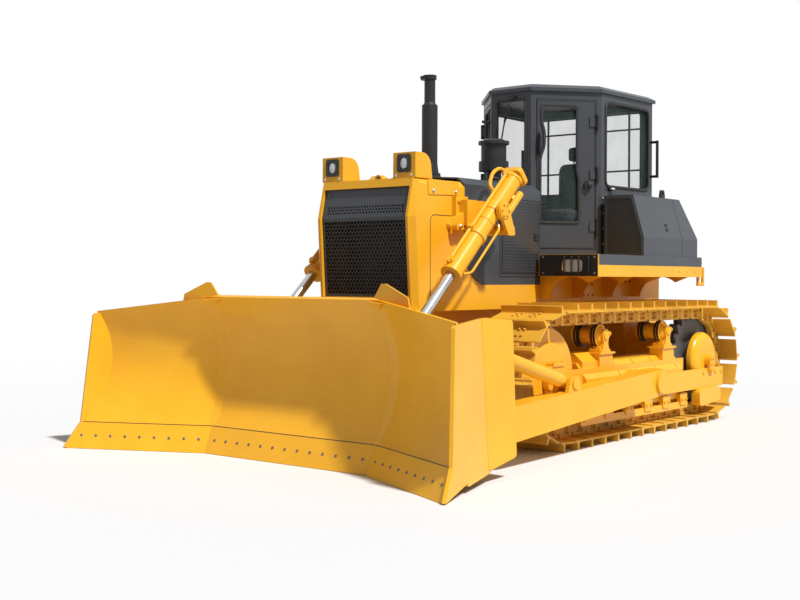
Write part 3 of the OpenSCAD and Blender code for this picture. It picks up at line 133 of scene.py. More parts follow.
class Finish:
    """A material with one Principled shader, which put() fills."""

    def __init__(self, name):
        self.material = bpy.data.materials.new(name)
        self.material.use_nodes = True
        self.tree = self.material.node_tree
        self.shader = self.tree.nodes["Principled BSDF"]
        self.place = self.node("TexCoord", out="Object")

    def node(self, kind, sockets=None, out=0, **settings):
        made = self.tree.nodes.new("ShaderNode" + kind)
        for key, value in settings.items():
            setattr(made, key, value)
        for key, value in (sockets or {}).items():
            self.plug(made.inputs[key], value)
        return Wire(self, made.outputs[out])

    def plug(self, socket, value):
        if isinstance(value, Wire):
            self.tree.links.new(value.socket, socket)
        elif np.ndim(value) == 1 and len(value) == 3 and len(socket.default_value) == 4:
            socket.default_value = (*value, 1.0)
        else:
            socket.default_value = value

    def noise(self, scale, detail=4.0):
        return self.node("TexNoise", {"Vector": self.place, "Scale": scale, "Detail": detail,
                                      "Roughness": 0.55})

    def axis(self, letter):
        return self.node("SeparateXYZ", {0: self.place}, out="XYZ".index(letter))

    def mix(self, share, first, second):
        return self.node("Mix", {0: share, 6: first, 7: second}, out=2, data_type="RGBA")

    def bump(self, height, strength, distance):
        return self.node("Bump", {"Height": height, "Strength": strength, "Distance": distance})

    def put(self, **sockets):
        for key, value in sockets.items():
            self.plug(self.shader.inputs[key.replace("_", " ")], value)
        return self.material


# %% [markdown]
# Most of the machine wears one warm yellow paint. Fresh paint is never one flat colour: it clouds a little,
# gathers pale dust near the ground, and has a faint orange peel that only shows in its gloss.

# %% Paints
DUST = (0.42, 0.3, 0.17)


def paint(name, light, dark, dust=0.0, gloss=0.34, coat=0.25):
    """Two close colours clouded by noise, dust that fades out with height, and orange peel in the bump."""
    finish = Finish(name)
    cloud = finish.noise(2.3)
    fine = finish.noise(38.0, 6.0)
    colour = finish.mix(cloud.ramp(0.35, 0.7), light, dark)
    low = 1 - finish.axis("Z").ramp(0.05, 1.1)
    share = (low * 0.7 + 0.15) * fine.ramp(0.42, 0.75) * dust
    colour = finish.mix(share, colour, DUST)
    peel = finish.noise(420.0, 1.0)
    return finish.put(
        Base_Color=colour,
        Roughness=fine * 0.12 + share * 0.4 + (gloss - 0.06),
        Coat_Weight=coat,
        Coat_Roughness=0.12,
        Specular_IOR_Level=0.3,
        Normal=finish.bump(peel * 0.6 + fine * 0.4, 0.12, 0.002),
    )


yellow = paint("yellow_paint", (0.88, 0.445, 0.018), (0.83, 0.405, 0.015), dust=0.1, coat=0.06)
track_yellow = paint("track_paint", (0.78, 0.42, 0.035), (0.6, 0.32, 0.03), 0.5, gloss=0.5, coat=0.0)
grey = paint("grey_paint", (0.052, 0.059, 0.07), (0.044, 0.05, 0.06), 0.05, gloss=0.42, coat=0.1)
black = paint("black_paint", (0.014, 0.014, 0.015), (0.02, 0.02, 0.021), 0.04, gloss=0.48, coat=0.0)
print("paints:", yellow.name, track_yellow.name, grey.name, black.name)

# %% [markdown]
# Rods are ground and chromed, bolts are zinc plated, and sprockets and engine stay as cast, rough and dull.

# %% Metals
def metal(name, colour, rough, grain, depth, metallic=1.0):
    """One metal colour, with noise at the scale of its grain in the roughness and the bump."""
    finish = Finish(name)
    speck = finish.noise(grain, 5.0)
    cloud = finish.noise(6.0)
    tone = finish.mix(cloud.ramp(0.3, 0.75), colour, tuple(0.72 * c for c in colour))
    return finish.put(
        Base_Color=tone,
        Metallic=metallic,
        Roughness=speck * 0.2 + (rough - 0.1),
        Normal=finish.bump(speck, 0.3, depth),
    )


chrome = metal("chrome", (0.56, 0.565, 0.58), 0.2, 160.0, 0.0003)
zinc = metal("zinc", (0.62, 0.61, 0.58), 0.34, 220.0, 0.0004)
iron = metal("cast_iron", (0.16, 0.155, 0.15), 0.62, 130.0, 0.0015, metallic=0.6)
print("metals:", chrome.name, zinc.name, iron.name)

# %% [markdown]
# Cab glass is thin, tinted sheet. A Principled shader with a low alpha shows the far windows and the sky
# through it and still keeps a sharp reflection, and faint dust clouds each pane.

# %% Glass, lenses, rubber and cloth
def tinted_glass():
    """A dark green tint at a low alpha, a little denser where dust has settled."""
    finish = Finish("glass")
    dust = finish.noise(5.0, 6.0).ramp(0.45, 0.85)
    return finish.put(Base_Color=finish.mix(dust, (0.09, 0.15, 0.14), (0.16, 0.21, 0.2)),
                      Roughness=dust * 0.06 + 0.04, Alpha=dust * 0.05 + 0.1, IOR=1.5)


def lamp_lens():
    """Pale glass over a reflector, with the fine upright ribs of a moulded lens in the bump."""
    finish = Finish("lamp_lens")
    ribs = finish.node("TexWave", {"Vector": finish.place, "Scale": 26.0}, bands_direction="Y")
    cloud = finish.noise(30.0)
    tone = finish.mix(cloud, (0.62, 0.66, 0.68), (0.4, 0.43, 0.45))
    return finish.put(Base_Color=tone, Metallic=0.35, Roughness=cloud * 0.1 + 0.1, Coat_Weight=0.6,
                      Normal=finish.bump(ribs, 0.5, 0.004))


def rubber():
    """Near-black rubber with a fine matt grain."""
    finish = Finish("rubber")
    grain = finish.noise(300.0, 3.0)
    tone = finish.mix(finish.noise(9.0), (0.01, 0.01, 0.011), (0.022, 0.022, 0.022))
    return finish.put(Base_Color=tone, Roughness=grain * 0.2 + 0.55, Normal=finish.bump(grain, 0.3, 0.0006))


def seat_cloth():
    """A plain weave: two sets of crossing threads as waves in the bump, with worn, paler patches."""
    finish = Finish("seat_cloth")
    warp = finish.node("TexWave", {"Vector": finish.place, "Scale": 110.0}, bands_direction="Y")
    weft = finish.node("TexWave", {"Vector": finish.place, "Scale": 110.0}, bands_direction="Z")
    worn = finish.noise(7.0).ramp(0.4, 0.8)
    return finish.put(Base_Color=finish.mix(worn, (0.02, 0.021, 0.024), (0.045, 0.046, 0.05)),
                      Roughness=worn * 0.1 + 0.8, Normal=finish.bump(warp * weft, 0.5, 0.0012))


glass, lens, gasket, cloth = tinted_glass(), lamp_lens(), rubber(), seat_cloth()
print("finishes:", glass.name, lens.name, gasket.name, cloth.name)

# %% [markdown]
# The solids keep their shapes and only get a finish here, one material slot each.

# %% Finishes of the solids
FINISH_OF = {
    yellow: ("radiator_guard", "fenders", "track_frames", "final_drives", "lift_yokes", "trunnion_caps",
             "blade", "cutting_edge", "push_arm_left", "push_arm_right", "brace", "tilt_barrel",
             "lift_barrel_left", "lift_barrel_right", "main_frame", "fuel_tank", "drawbar", "idlers",
             "carrier_rollers", "lamp_boxes"),
    track_yellow: ("track_left", "track_right", "track_rollers"),
    grey: ("hood", "side_panels", "cab_frame", "cab_roof", "side_boxes", "door_left", "door_right"),
    black: ("grille", "exhaust_stack", "pre_cleaner", "console", "grab_rails"),
    chrome: ("lift_rod_left", "lift_rod_right", "tilt_rod"),
    iron: ("engine_block", "sprockets"),
    glass: ("cab_glass", "door_glass_left", "door_glass_right"),
    lens: ("lamps",),
    cloth: ("seat",),
}
for material, names in FINISH_OF.items():
    for name in names:
        slots = nodes[name].data.materials
        slots.clear()
        slots.append(material)
print("finished solids:", sum(map(len, FINISH_OF.values())), "of", len(nodes))

# %% [markdown]
# A studio: one broad sun lamp high on the machine's left, a pale sky for the shade side, and a pale floor.
# The camera, mirrors and glass see a white sky. The floor takes the machine's shadow, and fades into that
# white further away, so no line shows where it ends.

# %% Floor, sky and lamp
FLOOR_RADIUS, FLOOR_SIDES = 60.0, 96
FADE_FROM, FADE_TO = 3.5, 12.0
SKY_SHADE, SKY_SEEN = 0.24, 1.0
SUN_FROM = (0.09, 0.58, 0.81)
SUN_POWER, SUN_ANGLE, SUN_COLOUR = 4.1, math.radians(4), (1.0, 0.98, 0.95)


def studio_floor():
    """A pale diffuse surface that takes the shadow, and fades into the white of the sky with distance."""
    finish = Finish("floor")
    grain = finish.noise(60.0)
    reach = finish.node("VectorMath", {0: finish.place}, out="Value", operation="LENGTH")
    return finish.put(Base_Color=finish.mix(grain, (0.72, 0.735, 0.76), (0.74, 0.755, 0.78)), Roughness=0.9,
                      Alpha=1 - reach.ramp(FADE_FROM, FADE_TO))


turn = around(FLOOR_SIDES)
disc = FLOOR_RADIUS * np.stack([np.cos(turn), np.sin(turn), 0 * turn], axis=1)
floor_mesh = bpy.data.meshes.new("floor")
floor_mesh.from_pydata(disc.tolist(), [], [list(range(FLOOR_SIDES))])
floor_mesh.materials.append(studio_floor())
floor = bpy.data.objects.new("floor", floor_mesh)
scene.collection.objects.link(floor)

sky = bpy.data.worlds.new("sky")
sky.use_nodes = True
scene.world = sky
sky_nodes, sky_links = sky.node_tree.nodes, sky.node_tree.links
back = sky_nodes["Background"]
rays = sky_nodes.new("ShaderNodeLightPath")
seen = rays.outputs["Is Camera Ray"]
for name in ("Is Glossy Ray", "Is Transmission Ray"):
    either = sky_nodes.new("ShaderNodeMath")
    either.operation = "MAXIMUM"
    sky_links.new(seen, either.inputs[0])
    sky_links.new(rays.outputs[name], either.inputs[1])
    seen = either.outputs[0]
level = sky_nodes.new("ShaderNodeMapRange")
level.inputs["To Min"].default_value = SKY_SHADE
level.inputs["To Max"].default_value = SKY_SEEN
sky_links.new(seen, level.inputs["Value"])
sky_links.new(level.outputs["Result"], back.inputs["Strength"])
back.inputs["Color"].default_value = (1, 1, 1, 1)

sun = bpy.data.lights.new("sun", "SUN")
sun.energy, sun.angle, sun.color = SUN_POWER, SUN_ANGLE, SUN_COLOUR
lamp = bpy.data.objects.new("sun", sun)
scene.collection.objects.link(lamp)
lamp.rotation_euler = (0, math.acos(unit(SUN_FROM)[2]), math.atan2(SUN_FROM[1], SUN_FROM[0]))
scene.view_settings.view_transform = "Standard"
print("lamp", SUN_POWER, "sky", SKY_SHADE)

# %% [markdown]
# Every added piece is an array of points. A grid of points with quads between its rows gives almost any
# machine part: an outline carried along an axis is a plate, rings carried along a path are a pipe, and rings
# of changing radius are a bolt. Copies are one shape multiplied with many small matrices.

# %% Shapes from grids
MACHINE = np.array([-2.22819, 0.0, 0.0])
UPRIGHT = np.eye(3)
X, Y, Z = UPRIGHT
SIDES = {"left": 1, "right": -1}


def grid(points, wrap=True, loop=False, caps=True):
    """Quads between neighbouring rows and columns; wrap closes each row, loop joins the last to the first."""
    rows, columns = points.shape[:2]
    row = np.arange(rows if loop else rows - 1)[:, None]
    column = np.arange(columns if wrap else columns - 1)[None, :]
    after, beside = (row + 1) % rows, (column + 1) % columns
    corners = [row * columns + column, row * columns + beside,
               after * columns + beside, after * columns + column]
    faces = np.stack(np.broadcast_arrays(*corners), axis=-1).reshape(-1, 4).tolist()
    if caps and wrap and not loop:
        faces += [list(range(columns)), list(range((rows - 1) * columns, rows * columns))]
    return points.reshape(-1, 3), faces


def join(*shapes):
    """Several shapes as one: points one after another, and face numbers moved up to match."""
    starts = np.cumsum([0] + [len(points) for points, _ in shapes])
    faces = [[i + start for i in face] for (_, fs), start in zip(shapes, starts) for face in fs]
    return np.concatenate([points for points, _ in shapes]), faces


def moved(shape, matrix, offset):
    """Copies of one shape: each matrix of a stack turns it, and each offset places it."""
    points, faces = shape
    matrix, offset = np.asarray(matrix, float), np.atleast_2d(np.asarray(offset, float))
    matrix = np.broadcast_to(matrix, (len(offset), 3, 3))
    copies = np.einsum("kij,nj->kni", matrix, points) + offset[:, None]
    starts = len(points) * np.arange(len(offset))
    return copies.reshape(-1, 3), [[i + start for i in face] for start in starts.tolist() for face in faces]


def mirrored(shape, hand=-1):
    """A shape of the machine's left side as it is for hand 1, or its mirror image for hand -1."""
    return shape[0] * [1, hand, 1], shape[1]


def both(shape):
    """A shape and its mirror image on the machine's other side."""
    return join(shape, mirrored(shape))


def facing(normal, up=Z):
    """A matrix whose third column is the normal, for shapes drawn with their own Z outward."""
    out = unit(normal)
    side = unit(np.cross(up if abs(out @ up) < 0.95 else X, out))
    return np.stack([side, np.cross(out, side), out], axis=1)


def at(axis, value, flat):
    """Flat points with one value put in as their third coordinate, at a given axis."""
    return np.insert(np.asarray(flat, float), axis, value, axis=1)


def extruded(outline, axis, low, high):
    """A flat outline carried straight along one axis, with an end face at both ends."""
    return grid(np.stack([at(axis, low, outline), at(axis, high, outline)]))


def turned(profile, sides, loop=False):
    """Rings round Z from rows of radius and height; loop closes the profile into a hoop."""
    radius, height = np.asarray(profile, float).T[:, :, None]
    angle = around(sides)[None, :]
    rings = np.stack([radius * np.cos(angle), radius * np.sin(angle), height + 0 * angle], axis=-1)
    return grid(rings, loop=loop)


def rounded(points, radius, steps=5):
    """A closed outline, each corner replaced by a parabola between points one radius before and after it."""
    p = np.asarray(points, float)
    arms = [np.roll(p, shift, axis=0) - p for shift in (1, -1)]
    length = [np.linalg.norm(arm, axis=1, keepdims=True) for arm in arms]
    a, b = (p + arm / size * np.minimum(radius, size * 0.49) for arm, size in zip(arms, length))
    s = np.linspace(0, 1, steps)[None, :, None]
    curve = (1 - s) ** 2 * a[:, None] + 2 * s * (1 - s) * p[:, None] + s ** 2 * b[:, None]
    return curve.reshape(-1, p.shape[1])


def box_line(u0, u1, v0, v1, radius, steps=5):
    """A rectangle with rounded corners."""
    return rounded([(u0, v0), (u1, v0), (u1, v1), (u0, v1)], radius, steps)


def bent(points, radius, steps=6):
    """An open path with rounded corners: the closed rounding without its two ends."""
    p = np.asarray(points, float)
    inner = rounded(p, radius, steps).reshape(len(p), steps, -1)[1:-1].reshape(-1, p.shape[1])
    return np.concatenate([p[:1], inner, p[-1:]])


def carried(profile, path, up, loop=False):
    """A closed profile (across, out) carried along a path: out along up, across square to the path."""
    path, profile = np.asarray(path, float), np.asarray(profile, float)
    ahead = np.roll(path, -1, axis=0) - np.roll(path, 1, axis=0) if loop else np.gradient(path, axis=0)
    across = unit(np.cross(ahead, up))
    out = unit(np.cross(across, ahead))
    aside, lift = profile[None, :, :1] * across[:, None], profile[None, :, 1:] * out[:, None]
    return grid(path[:, None] + aside + lift, loop=loop)


def strip(foot, head, low, high):
    """A flat profile: half widths at its foot and its head, between two distances from a surface."""
    return [(-foot, low), (foot, low), (head, high), (-head, high)]


def pipe(path, radius, up=Z, sides=10, loop=False):
    """A circle carried along a path."""
    angle = around(sides)
    return carried(radius * np.stack([np.cos(angle), np.sin(angle)], axis=1), path, up, loop)


def piece(name, shape, material, body="chassis", sharp=35, stands_for=()):
    """Puts a shape, given in the machine's frame, into a mesh that rides on a body."""
    mesh = bpy.data.meshes.new(name)
    mesh.from_pydata((shape[0] + MACHINE).tolist(), [], shape[1])
    form = bmesh.new()
    form.from_mesh(mesh)
    bmesh.ops.recalc_face_normals(form, faces=form.faces)
    form.to_mesh(mesh)
    form.free()
    mesh.shade_smooth()
    mesh.set_sharp_from_angle(angle=math.radians(sharp))
    mesh.materials.append(material)
    made = bpy.data.objects.new(name, mesh)
    scene.collection.objects.link(made)
    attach(made, body)
    if stands_for:
        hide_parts(*stands_for)
    print(f"{name}: {len(mesh.vertices)} points, {len(mesh.polygons)} faces on {body}")
    return made


# %% [markdown]
# Bolts hold every cover on. A hexagon head on a round washer is two short stacks of rings, so hundreds of
# them stay cheap.

# %% Bolts
def bolt(size):
    """A washer of twelve sides under a hexagon head with a chamfered top, both as rings round Z."""
    washer = turned([(1.25 * size, 0), (1.25 * size, 0.25 * size)], 12)
    head = turned([(size, 0.2 * size), (size, 0.95 * size), (0.82 * size, 1.1 * size)], 6)
    return join(washer, head)


def bolts(size, places, normal):
    """Bolts at many places that face one way."""
    return moved(bolt(size), facing(normal), places)


# %% [markdown]
# A track is an endless chain: 38 links on each of two rails carry 38 shoes, each with one tall lug. In the
# solids it is one loop, so here the chain is cut into its real links and shoes. All of them are copies of one
# shoe and one link, set along the loop by the place and direction of each pair of pins.

# %% Chain positions
PITCH, SHOES, RUN = 0.216, 38, 2.73
LOOP_R = (SHOES * PITCH - 2 * RUN) / (2 * np.pi)
AXLE_Z = 0.137 + LOOP_R
TRACK_Y = 1.0


def loop_pin(s):
    """Pins along the loop: bottom run, half turn at the idler, top run, half turn at the sprocket."""
    turn = np.pi * LOOP_R
    front, rear = (s - RUN) / LOOP_R - np.pi / 2, (s - 2 * RUN) / LOOP_R - np.pi / 2
    part = [s < RUN, s < RUN + turn, s < 2 * RUN + turn]
    x = np.select(part, [s, RUN + LOOP_R * np.cos(front), 2 * RUN + turn - s], LOOP_R * np.cos(rear))
    z = np.select(part, [-LOOP_R + 0 * s, LOOP_R * np.sin(front), LOOP_R + 0 * s], LOOP_R * np.sin(rear))
    return np.stack([x, 0 * s, z + AXLE_Z], axis=-1)


pins = loop_pin(np.arange(SHOES) * PITCH)
along = unit(np.roll(pins, -1, axis=0) - pins)
outward = np.stack([along[:, 2], 0 * along[:, 0], -along[:, 0]], axis=1)
link_frames = np.stack([along, np.broadcast_to(Y, along.shape), outward], axis=2)
print("loop radius", round(LOOP_R, 4), "axle height", round(AXLE_Z, 4))

# %% Shoes, links and their bolts
LUG_U = 0.72 * PITCH
shoe_line = [(0.003, 0.064), (0.188, 0.064), (0.199, 0.057), (0.211, 0.057), (0.211, 0.066),
             (0.202, 0.077), (LUG_U + 0.034, 0.078), (LUG_U + 0.026, 0.086), (LUG_U + 0.023, 0.1365),
             (LUG_U + 0.003, 0.1365), (LUG_U - 0.001, 0.088), (LUG_U - 0.01, 0.078), (0.016, 0.077),
             (0.003, 0.072)]
shoe = extruded(shoe_line, 1, -0.28, 0.28)
shoe_bolts = bolts(0.013, [(u, y, 0.077) for u in (0.058, 0.122) for y in (-0.105, -0.058, 0.058, 0.105)], Z)
web = extruded(box_line(-0.038, 0.174, -0.044, 0.063, 0.03, 4), 1, 0, 0.026)
rim = [extruded(rounded(line, 0.008, 3), 1, 0, 0.0425) for line in (
    [(-0.022, -0.0445), (0.16, -0.0445), (0.15, -0.024), (-0.01, -0.024)],
    [(-0.03, 0.036), (0.166, 0.036), (0.17, 0.0635), (-0.034, 0.0635)])]
knuckle = moved(turned([(0.041, 0), (0.041, 0.04), (0.034, 0.0435), (0.019, 0.0435), (0.018, 0.045)], 14),
                facing(Y), [(0, 0, 0), (0.15, 0, 0.006)])
nut = bolts(0.011, [(0.06, 0.026, 0.012), (0.096, 0.026, 0.012)], Y)
outer_link = moved(join(web, *rim, knuckle, nut), UPRIGHT, [(0, 0.06, 0)])
bushing = moved(turned([(0.031, -0.062), (0.031, 0.062)], 12), facing(Y), [(0, 0, 0)])
link_pair = join(both(outer_link), bushing)
for side, hand in SIDES.items():
    here = pins + [0, hand * TRACK_Y, 0]
    shoes = join(moved(shoe, link_frames, here), moved(shoe_bolts, link_frames, here))
    piece(f"track_shoes_{side}", shoes, track_yellow, stands_for=[f"track_{side}"])
    piece(f"track_links_{side}", moved(link_pair, link_frames, here), track_yellow)

# %% [markdown]
# The blade is one thick curved plate with bolted edges below it. Its edges are held by countersunk plough
# bolts in a row, whose plugs are dark cast iron: painted shade for the shadowed crescent in each countersink.
# Above them a thin near-black strip is painted shade for the shadowed gap at the joint. Both follow the fold
# of the wings, so they are laid out along the three straight sections.

# %% Edge bolts and painted seam shade of the blade
CHORD_X, HALF_MIDDLE, WING = 4.485, 0.82, math.radians(26)
EDGE_OUT = np.array([0.197, 0, 0.097])
BOLT_Z, SEAM_Z, SEAM_RUN = 0.1, 0.2, 1.09
wing_cos, wing_sin = math.cos(WING), math.sin(WING)
wing_turn = np.array([[wing_cos, wing_sin, 0], [-wing_sin, wing_cos, 0], [0, 0, 1]])
wing_foot = np.array([CHORD_X, HALF_MIDDLE, 0])


def on_wing(points):
    """Points of the middle section's frame, measured from the fold, turned forward with the left wing."""
    return (np.asarray(points, float) - wing_foot) @ wing_turn.T + wing_foot


plug = turned([(0.0115, -0.004), (0.0115, 0.002), (0.0085, 0.0035), (0.003, 0.002)], 10)
row_x = CHORD_X + 0.05
middle_row = moved(plug, facing(EDGE_OUT), [(row_x, y, BOLT_Z) for y in np.linspace(-0.74, 0.74, 13)])
wing_row = moved(plug, facing(wing_turn @ EDGE_OUT),
                 on_wing([(row_x, HALF_MIDDLE + t, BOLT_Z) for t in np.linspace(0.09, 1.07, 9)]))
# The plugs are dark cast iron as painted shade for the shadowed crescent in each countersink.
piece("edge_bolts", join(middle_row, both(wing_row)), iron, "blade")
# The seam strip is near-black rubber on the joint: painted shade for the shadowed gap above the edge.
seam_shade_path = np.array([on_wing((CHORD_X, HALF_MIDDLE + SEAM_RUN, SEAM_Z)), (CHORD_X, HALF_MIDDLE, SEAM_Z)])
seam_shade_path = np.concatenate([seam_shade_path, seam_shade_path[::-1] * [1, -1, 1]])
piece("edge_seam", carried(strip(0.0025, 0.0025, -0.004, 0.0018), seam_shade_path, X), gasket, "blade")

# %% [markdown]
# The grille has a plate above, pierced by three rows of small holes, and fine staggered mesh below. Each hole
# is a cell of sixteen faces: a ring from the cell's rectangle to the hole, and the hole's wall.

# %% Grille
GUARD_FOOT, GUARD_KINK, GUARD_HEAD = np.array([(3.64, 1.11), (3.687, 1.811), (3.62, 2.11)])
GRILLE_HALF = 0.434


def on_guard(y, z, depth):
    """Points at a depth behind the guard's front: a plane up to the kink and one that leans back above it."""
    below, above = GUARD_KINK - GUARD_FOOT, GUARD_HEAD - GUARD_KINK
    lean = np.where(z < GUARD_KINK[1], below[0] / below[1], above[0] / above[1])
    return np.stack([GUARD_KINK[0] + (z - GUARD_KINK[1]) * lean - depth, y, z], axis=-1)


def pierced(y0, z0, columns, rows, wide, high, hole, depth, wall):
    """Staggered cells: eight points on each cell's rectangle, eight on its hole, eight behind the hole."""
    column, row = np.meshgrid(np.arange(columns), np.arange(rows))
    middle_y = y0 + (column + 0.5 + 0.5 * (row % 2)).ravel() * wide
    middle_z = z0 + (row.ravel() + 0.5) * high
    ring = np.stack([np.cos(around(8)), np.sin(around(8))])
    square = np.sign(np.round(ring, 6)) * [[wide / 2], [high / 2]]
    rings = np.stack([square, hole * ring, hole * ring])
    y = middle_y[:, None, None] + rings[None, :, 0]
    z = middle_z[:, None, None] + rings[None, :, 1]
    points = on_guard(y, z, depth + np.array([0, 0, wall])[None, :, None])
    _, faces = grid(np.zeros((3, 8, 3)), caps=False)
    return points.reshape(-1, 3), [[i + 24 * k for i in face] for k in range(len(points)) for face in faces]


def sheet_between(y0, y1, z0, z1, depth):
    """A flat closed strip of the grille between two heights on one side of the kink."""
    y, z = np.array([y0, y1, y1, y0]), np.array([z0, z0, z1, z1])
    return grid(np.stack([on_guard(y, z, depth), on_guard(y, z, depth + 0.006)]))


mesh_cells = pierced(-0.427, 1.215, columns=25, rows=20, wide=0.0335, high=0.0287, hole=0.0132,
                     depth=0.03, wall=0.012)
piece("grille_mesh", mesh_cells, black, stands_for=["grille"])
half = GRILLE_HALF
sheets = [(-half, half, 1.195, 1.217), (-half, half, 1.787, 1.8108), (-half, -0.409, 1.215, 1.789),
          (0.409, half, 1.215, 1.789)]
border = join(*[sheet_between(*sheet, 0.027) for sheet in sheets])
top_sheets = [(-half, half, 1.8112, 1.842), (-half, half, 1.908, 2.043), (-half, -0.388, 1.84, 1.91),
              (0.388, half, 1.84, 1.91)]
top_plate = join(*[sheet_between(*sheet, 0.024) for sheet in top_sheets])
holes = pierced(-0.3925, 1.841, columns=27, rows=3, wide=0.0285, high=0.0227, hole=0.0092,
                depth=0.0245, wall=0.01)
plug_places = on_guard(np.array([-0.385, 0.385]), np.array([2.0, 2.0]), 0.025)
plug_face = moved(turned([(0.024, 0), (0.024, 0.004), (0.018, 0.007)], 16), facing((0.299, 0, 0.067)),
                  plug_places)
piece("grille_plate", join(border, top_plate, holes, plug_face), grey)

# %% [markdown]
# The guard's sides carry a service door with a rounded corner, a cover at the top rear, a hook latch and a
# few bolts. A door seam is a narrow dark line, so it is a thin strip laid on the plate.

# %% Radiator guard details
thin = strip(0.003, 0.003, -0.002, 0.0012)
GUARD_Y = 0.5
door_seam = at(1, GUARD_Y, bent([(3.457, 1.19), (3.46, 1.832), (3.014, 1.832)], 0.06))
cover_line = rounded([(3.1, 2.0), (3.49, 1.985), (3.5, 2.1), (3.102, 2.106)], 0.012, 4)
cover = extruded(cover_line, 1, 0.4995, 0.507)
hook_path = [(3.245, 0.498, 1.765), (3.245, 0.524, 1.765), (3.225, 0.526, 1.745), (3.222, 0.526, 1.69)]
hook = pipe(bent(hook_path, 0.012), 0.008, up=X + 0.3 * Z)
bolt_places = [(3.432, 0.507, 2.018), (3.139, 0.507, 2.024), (3.065, 0.5, 1.959), (3.094, 0.5, 1.918)]
piece("guard_seams", both(carried(thin, door_seam, Y)), gasket)
piece("guard_covers", both(join(cover, hook)), yellow)
piece("guard_bolts", both(bolts(0.012, bolt_places, Y)), zinc)
cap = join(turned([(0.052, 0), (0.052, 0.018), (0.036, 0.024), (0.036, 0.06), (0.026, 0.072)], 16),
           bolts(0.011, [(0.042, 0.0, 0.018), (-0.042, 0, 0.018)], Z))
piece("filler_cap", moved(cap, UPRIGHT, (3.44, 0.166, 2.11)), yellow)

# %% [markdown]
# Engine side panels are pressed with fine louvres to let heat out. One louvre is a sloping face and a short
# return, so the whole panel is a saw-tooth outline carried along X.

# %% Louvred side panels
TEETH = 24
PLATE_BACK, TOOTH_FOOT, TOOTH_TOP = 0.5003, 0.5045, 0.5115
tooth_z = np.linspace(1.385, 1.995, TEETH + 1)
saw = [point for z in tooth_z[:-1]
       for point in ((TOOTH_FOOT, z), (TOOTH_TOP, z + 0.019), (TOOTH_FOOT, z + 0.0215))]
saw += [(TOOTH_FOOT, tooth_z[-1]), (PLATE_BACK, tooth_z[-1]), (PLATE_BACK, tooth_z[0])]
louvre = extruded(saw, 0, 1.915, 2.475)
edge = at(1, GUARD_Y, box_line(1.895, 2.5, 1.365, 2.015, 0.02, 4))
border = carried(strip(0.006, 0.004, 0, 0.006), edge, Y, loop=True)
piece("louvre_panels", both(join(louvre, border)), grey)
latch = extruded(box_line(1.925, 1.985, 1.665, 1.725, 0.008, 3), 1, PLATE_BACK, 0.5165)
piece("panel_latches", both(latch), black)
bolt_places = at(1, GUARD_Y, [(1.93, 1.315), (2.47, 1.315), (2.47, 2.03)])
piece("panel_bolts", both(bolts(0.009, bolt_places, Y)), iron)

# %% [markdown]
# Cab windows sit in black rubber. A gasket is a small profile carried round the opening's outline, so the
# same outline that cut the window in the solids is drawn here again, on the plane of its wall.

# %% Walls of the cab
def on_wall(plane, flat, out=0.0):
    """Flat points (along, height) on a wall, at a distance outside it."""
    origin, along_wall, normal = plane
    flat = np.asarray(flat, float)
    return origin + flat[:, :1] * along_wall + flat[:, 1:] * Z + out * normal


DOOR_WALL = np.array([(1.59, 0.217, 0), (-0.7623, 0.6472, 0), (0.6472, 0.7623, 0)])
SIDE_WALL = np.array([(1.08, 0.65, 0), (-0.99906, 0.04344, 0), (0.04344, 0.99906, 0)])
FRONT_WALL = (np.array([1.59, 0, 0]), Y, X)
REAR_WALL = (np.array([0.16, 0, 0]), Y, -X)
DOOR_U, DOOR_Z, STRIP_INSET = (0.0545, 0.6145), (1.614, 2.965), 0.007
door_pane = rounded([(0.0865, 1.849), (0.4577, 1.849), (0.4577, 2.249), (0.4377, 2.319),
                     (0.4377, 2.913), (0.0985, 2.913), (0.0985, 2.763), (0.1265, 2.668),
                     (0.1265, 2.543), (0.0865, 2.433)], 0.035)
side_pane = box_line(0.07, 0.851, 2.19, 2.965, 0.0675)
front_pane = box_line(-0.162, 0.162, 2.19, 2.965, 0.045)
rear_pane = box_line(-0.58, 0.58, 2.19, 2.965, 0.045)
rubber_profile = [(-0.014, -0.004), (0.012, -0.004), (0.012, 0.006), (0.007, 0.011), (-0.009, 0.011),
                  (-0.014, 0.006)]


def gasket_round(plane, pane):
    """The rubber profile carried round a pane's outline."""
    return carried(rubber_profile, on_wall(plane, pane), plane[2], loop=True)


fixed_gaskets = join(both(gasket_round(SIDE_WALL, side_pane)), gasket_round(FRONT_WALL, front_pane),
                     gasket_round(REAR_WALL, rear_pane))
piece("window_gaskets", fixed_gaskets, gasket)
door_edge = box_line(DOOR_U[0] + STRIP_INSET, DOOR_U[1] - STRIP_INSET, DOOR_Z[0] + STRIP_INSET,
                     DOOR_Z[1] - STRIP_INSET, 0.012, 3)
door_strip = carried(strip(0.006, 0.005, -0.001, 0.0025), on_wall(DOOR_WALL, door_edge), DOOR_WALL[2],
                     loop=True)
door_rubber = join(gasket_round(DOOR_WALL, door_pane), door_strip)
for side, hand in SIDES.items():
    piece(f"door_gasket_{side}", mirrored(door_rubber, hand), gasket, f"door_{side}")

# %% [markdown]
# A door is opened by a handle in the notch of its window and held by a latch at its rear edge. Its three
# hinges are black barrels, which stand on the cab because they turn about their own middle.

# %% Door fittings
def block_on(plane, u0, u1, z0, z1, low, high, radius=0.006):
    """A small rounded plate that stands on a wall between two distances outside it."""
    outline = box_line(u0, u1, z0, z1, radius)
    return grid(np.stack([on_wall(plane, outline, low), on_wall(plane, outline, high)]))


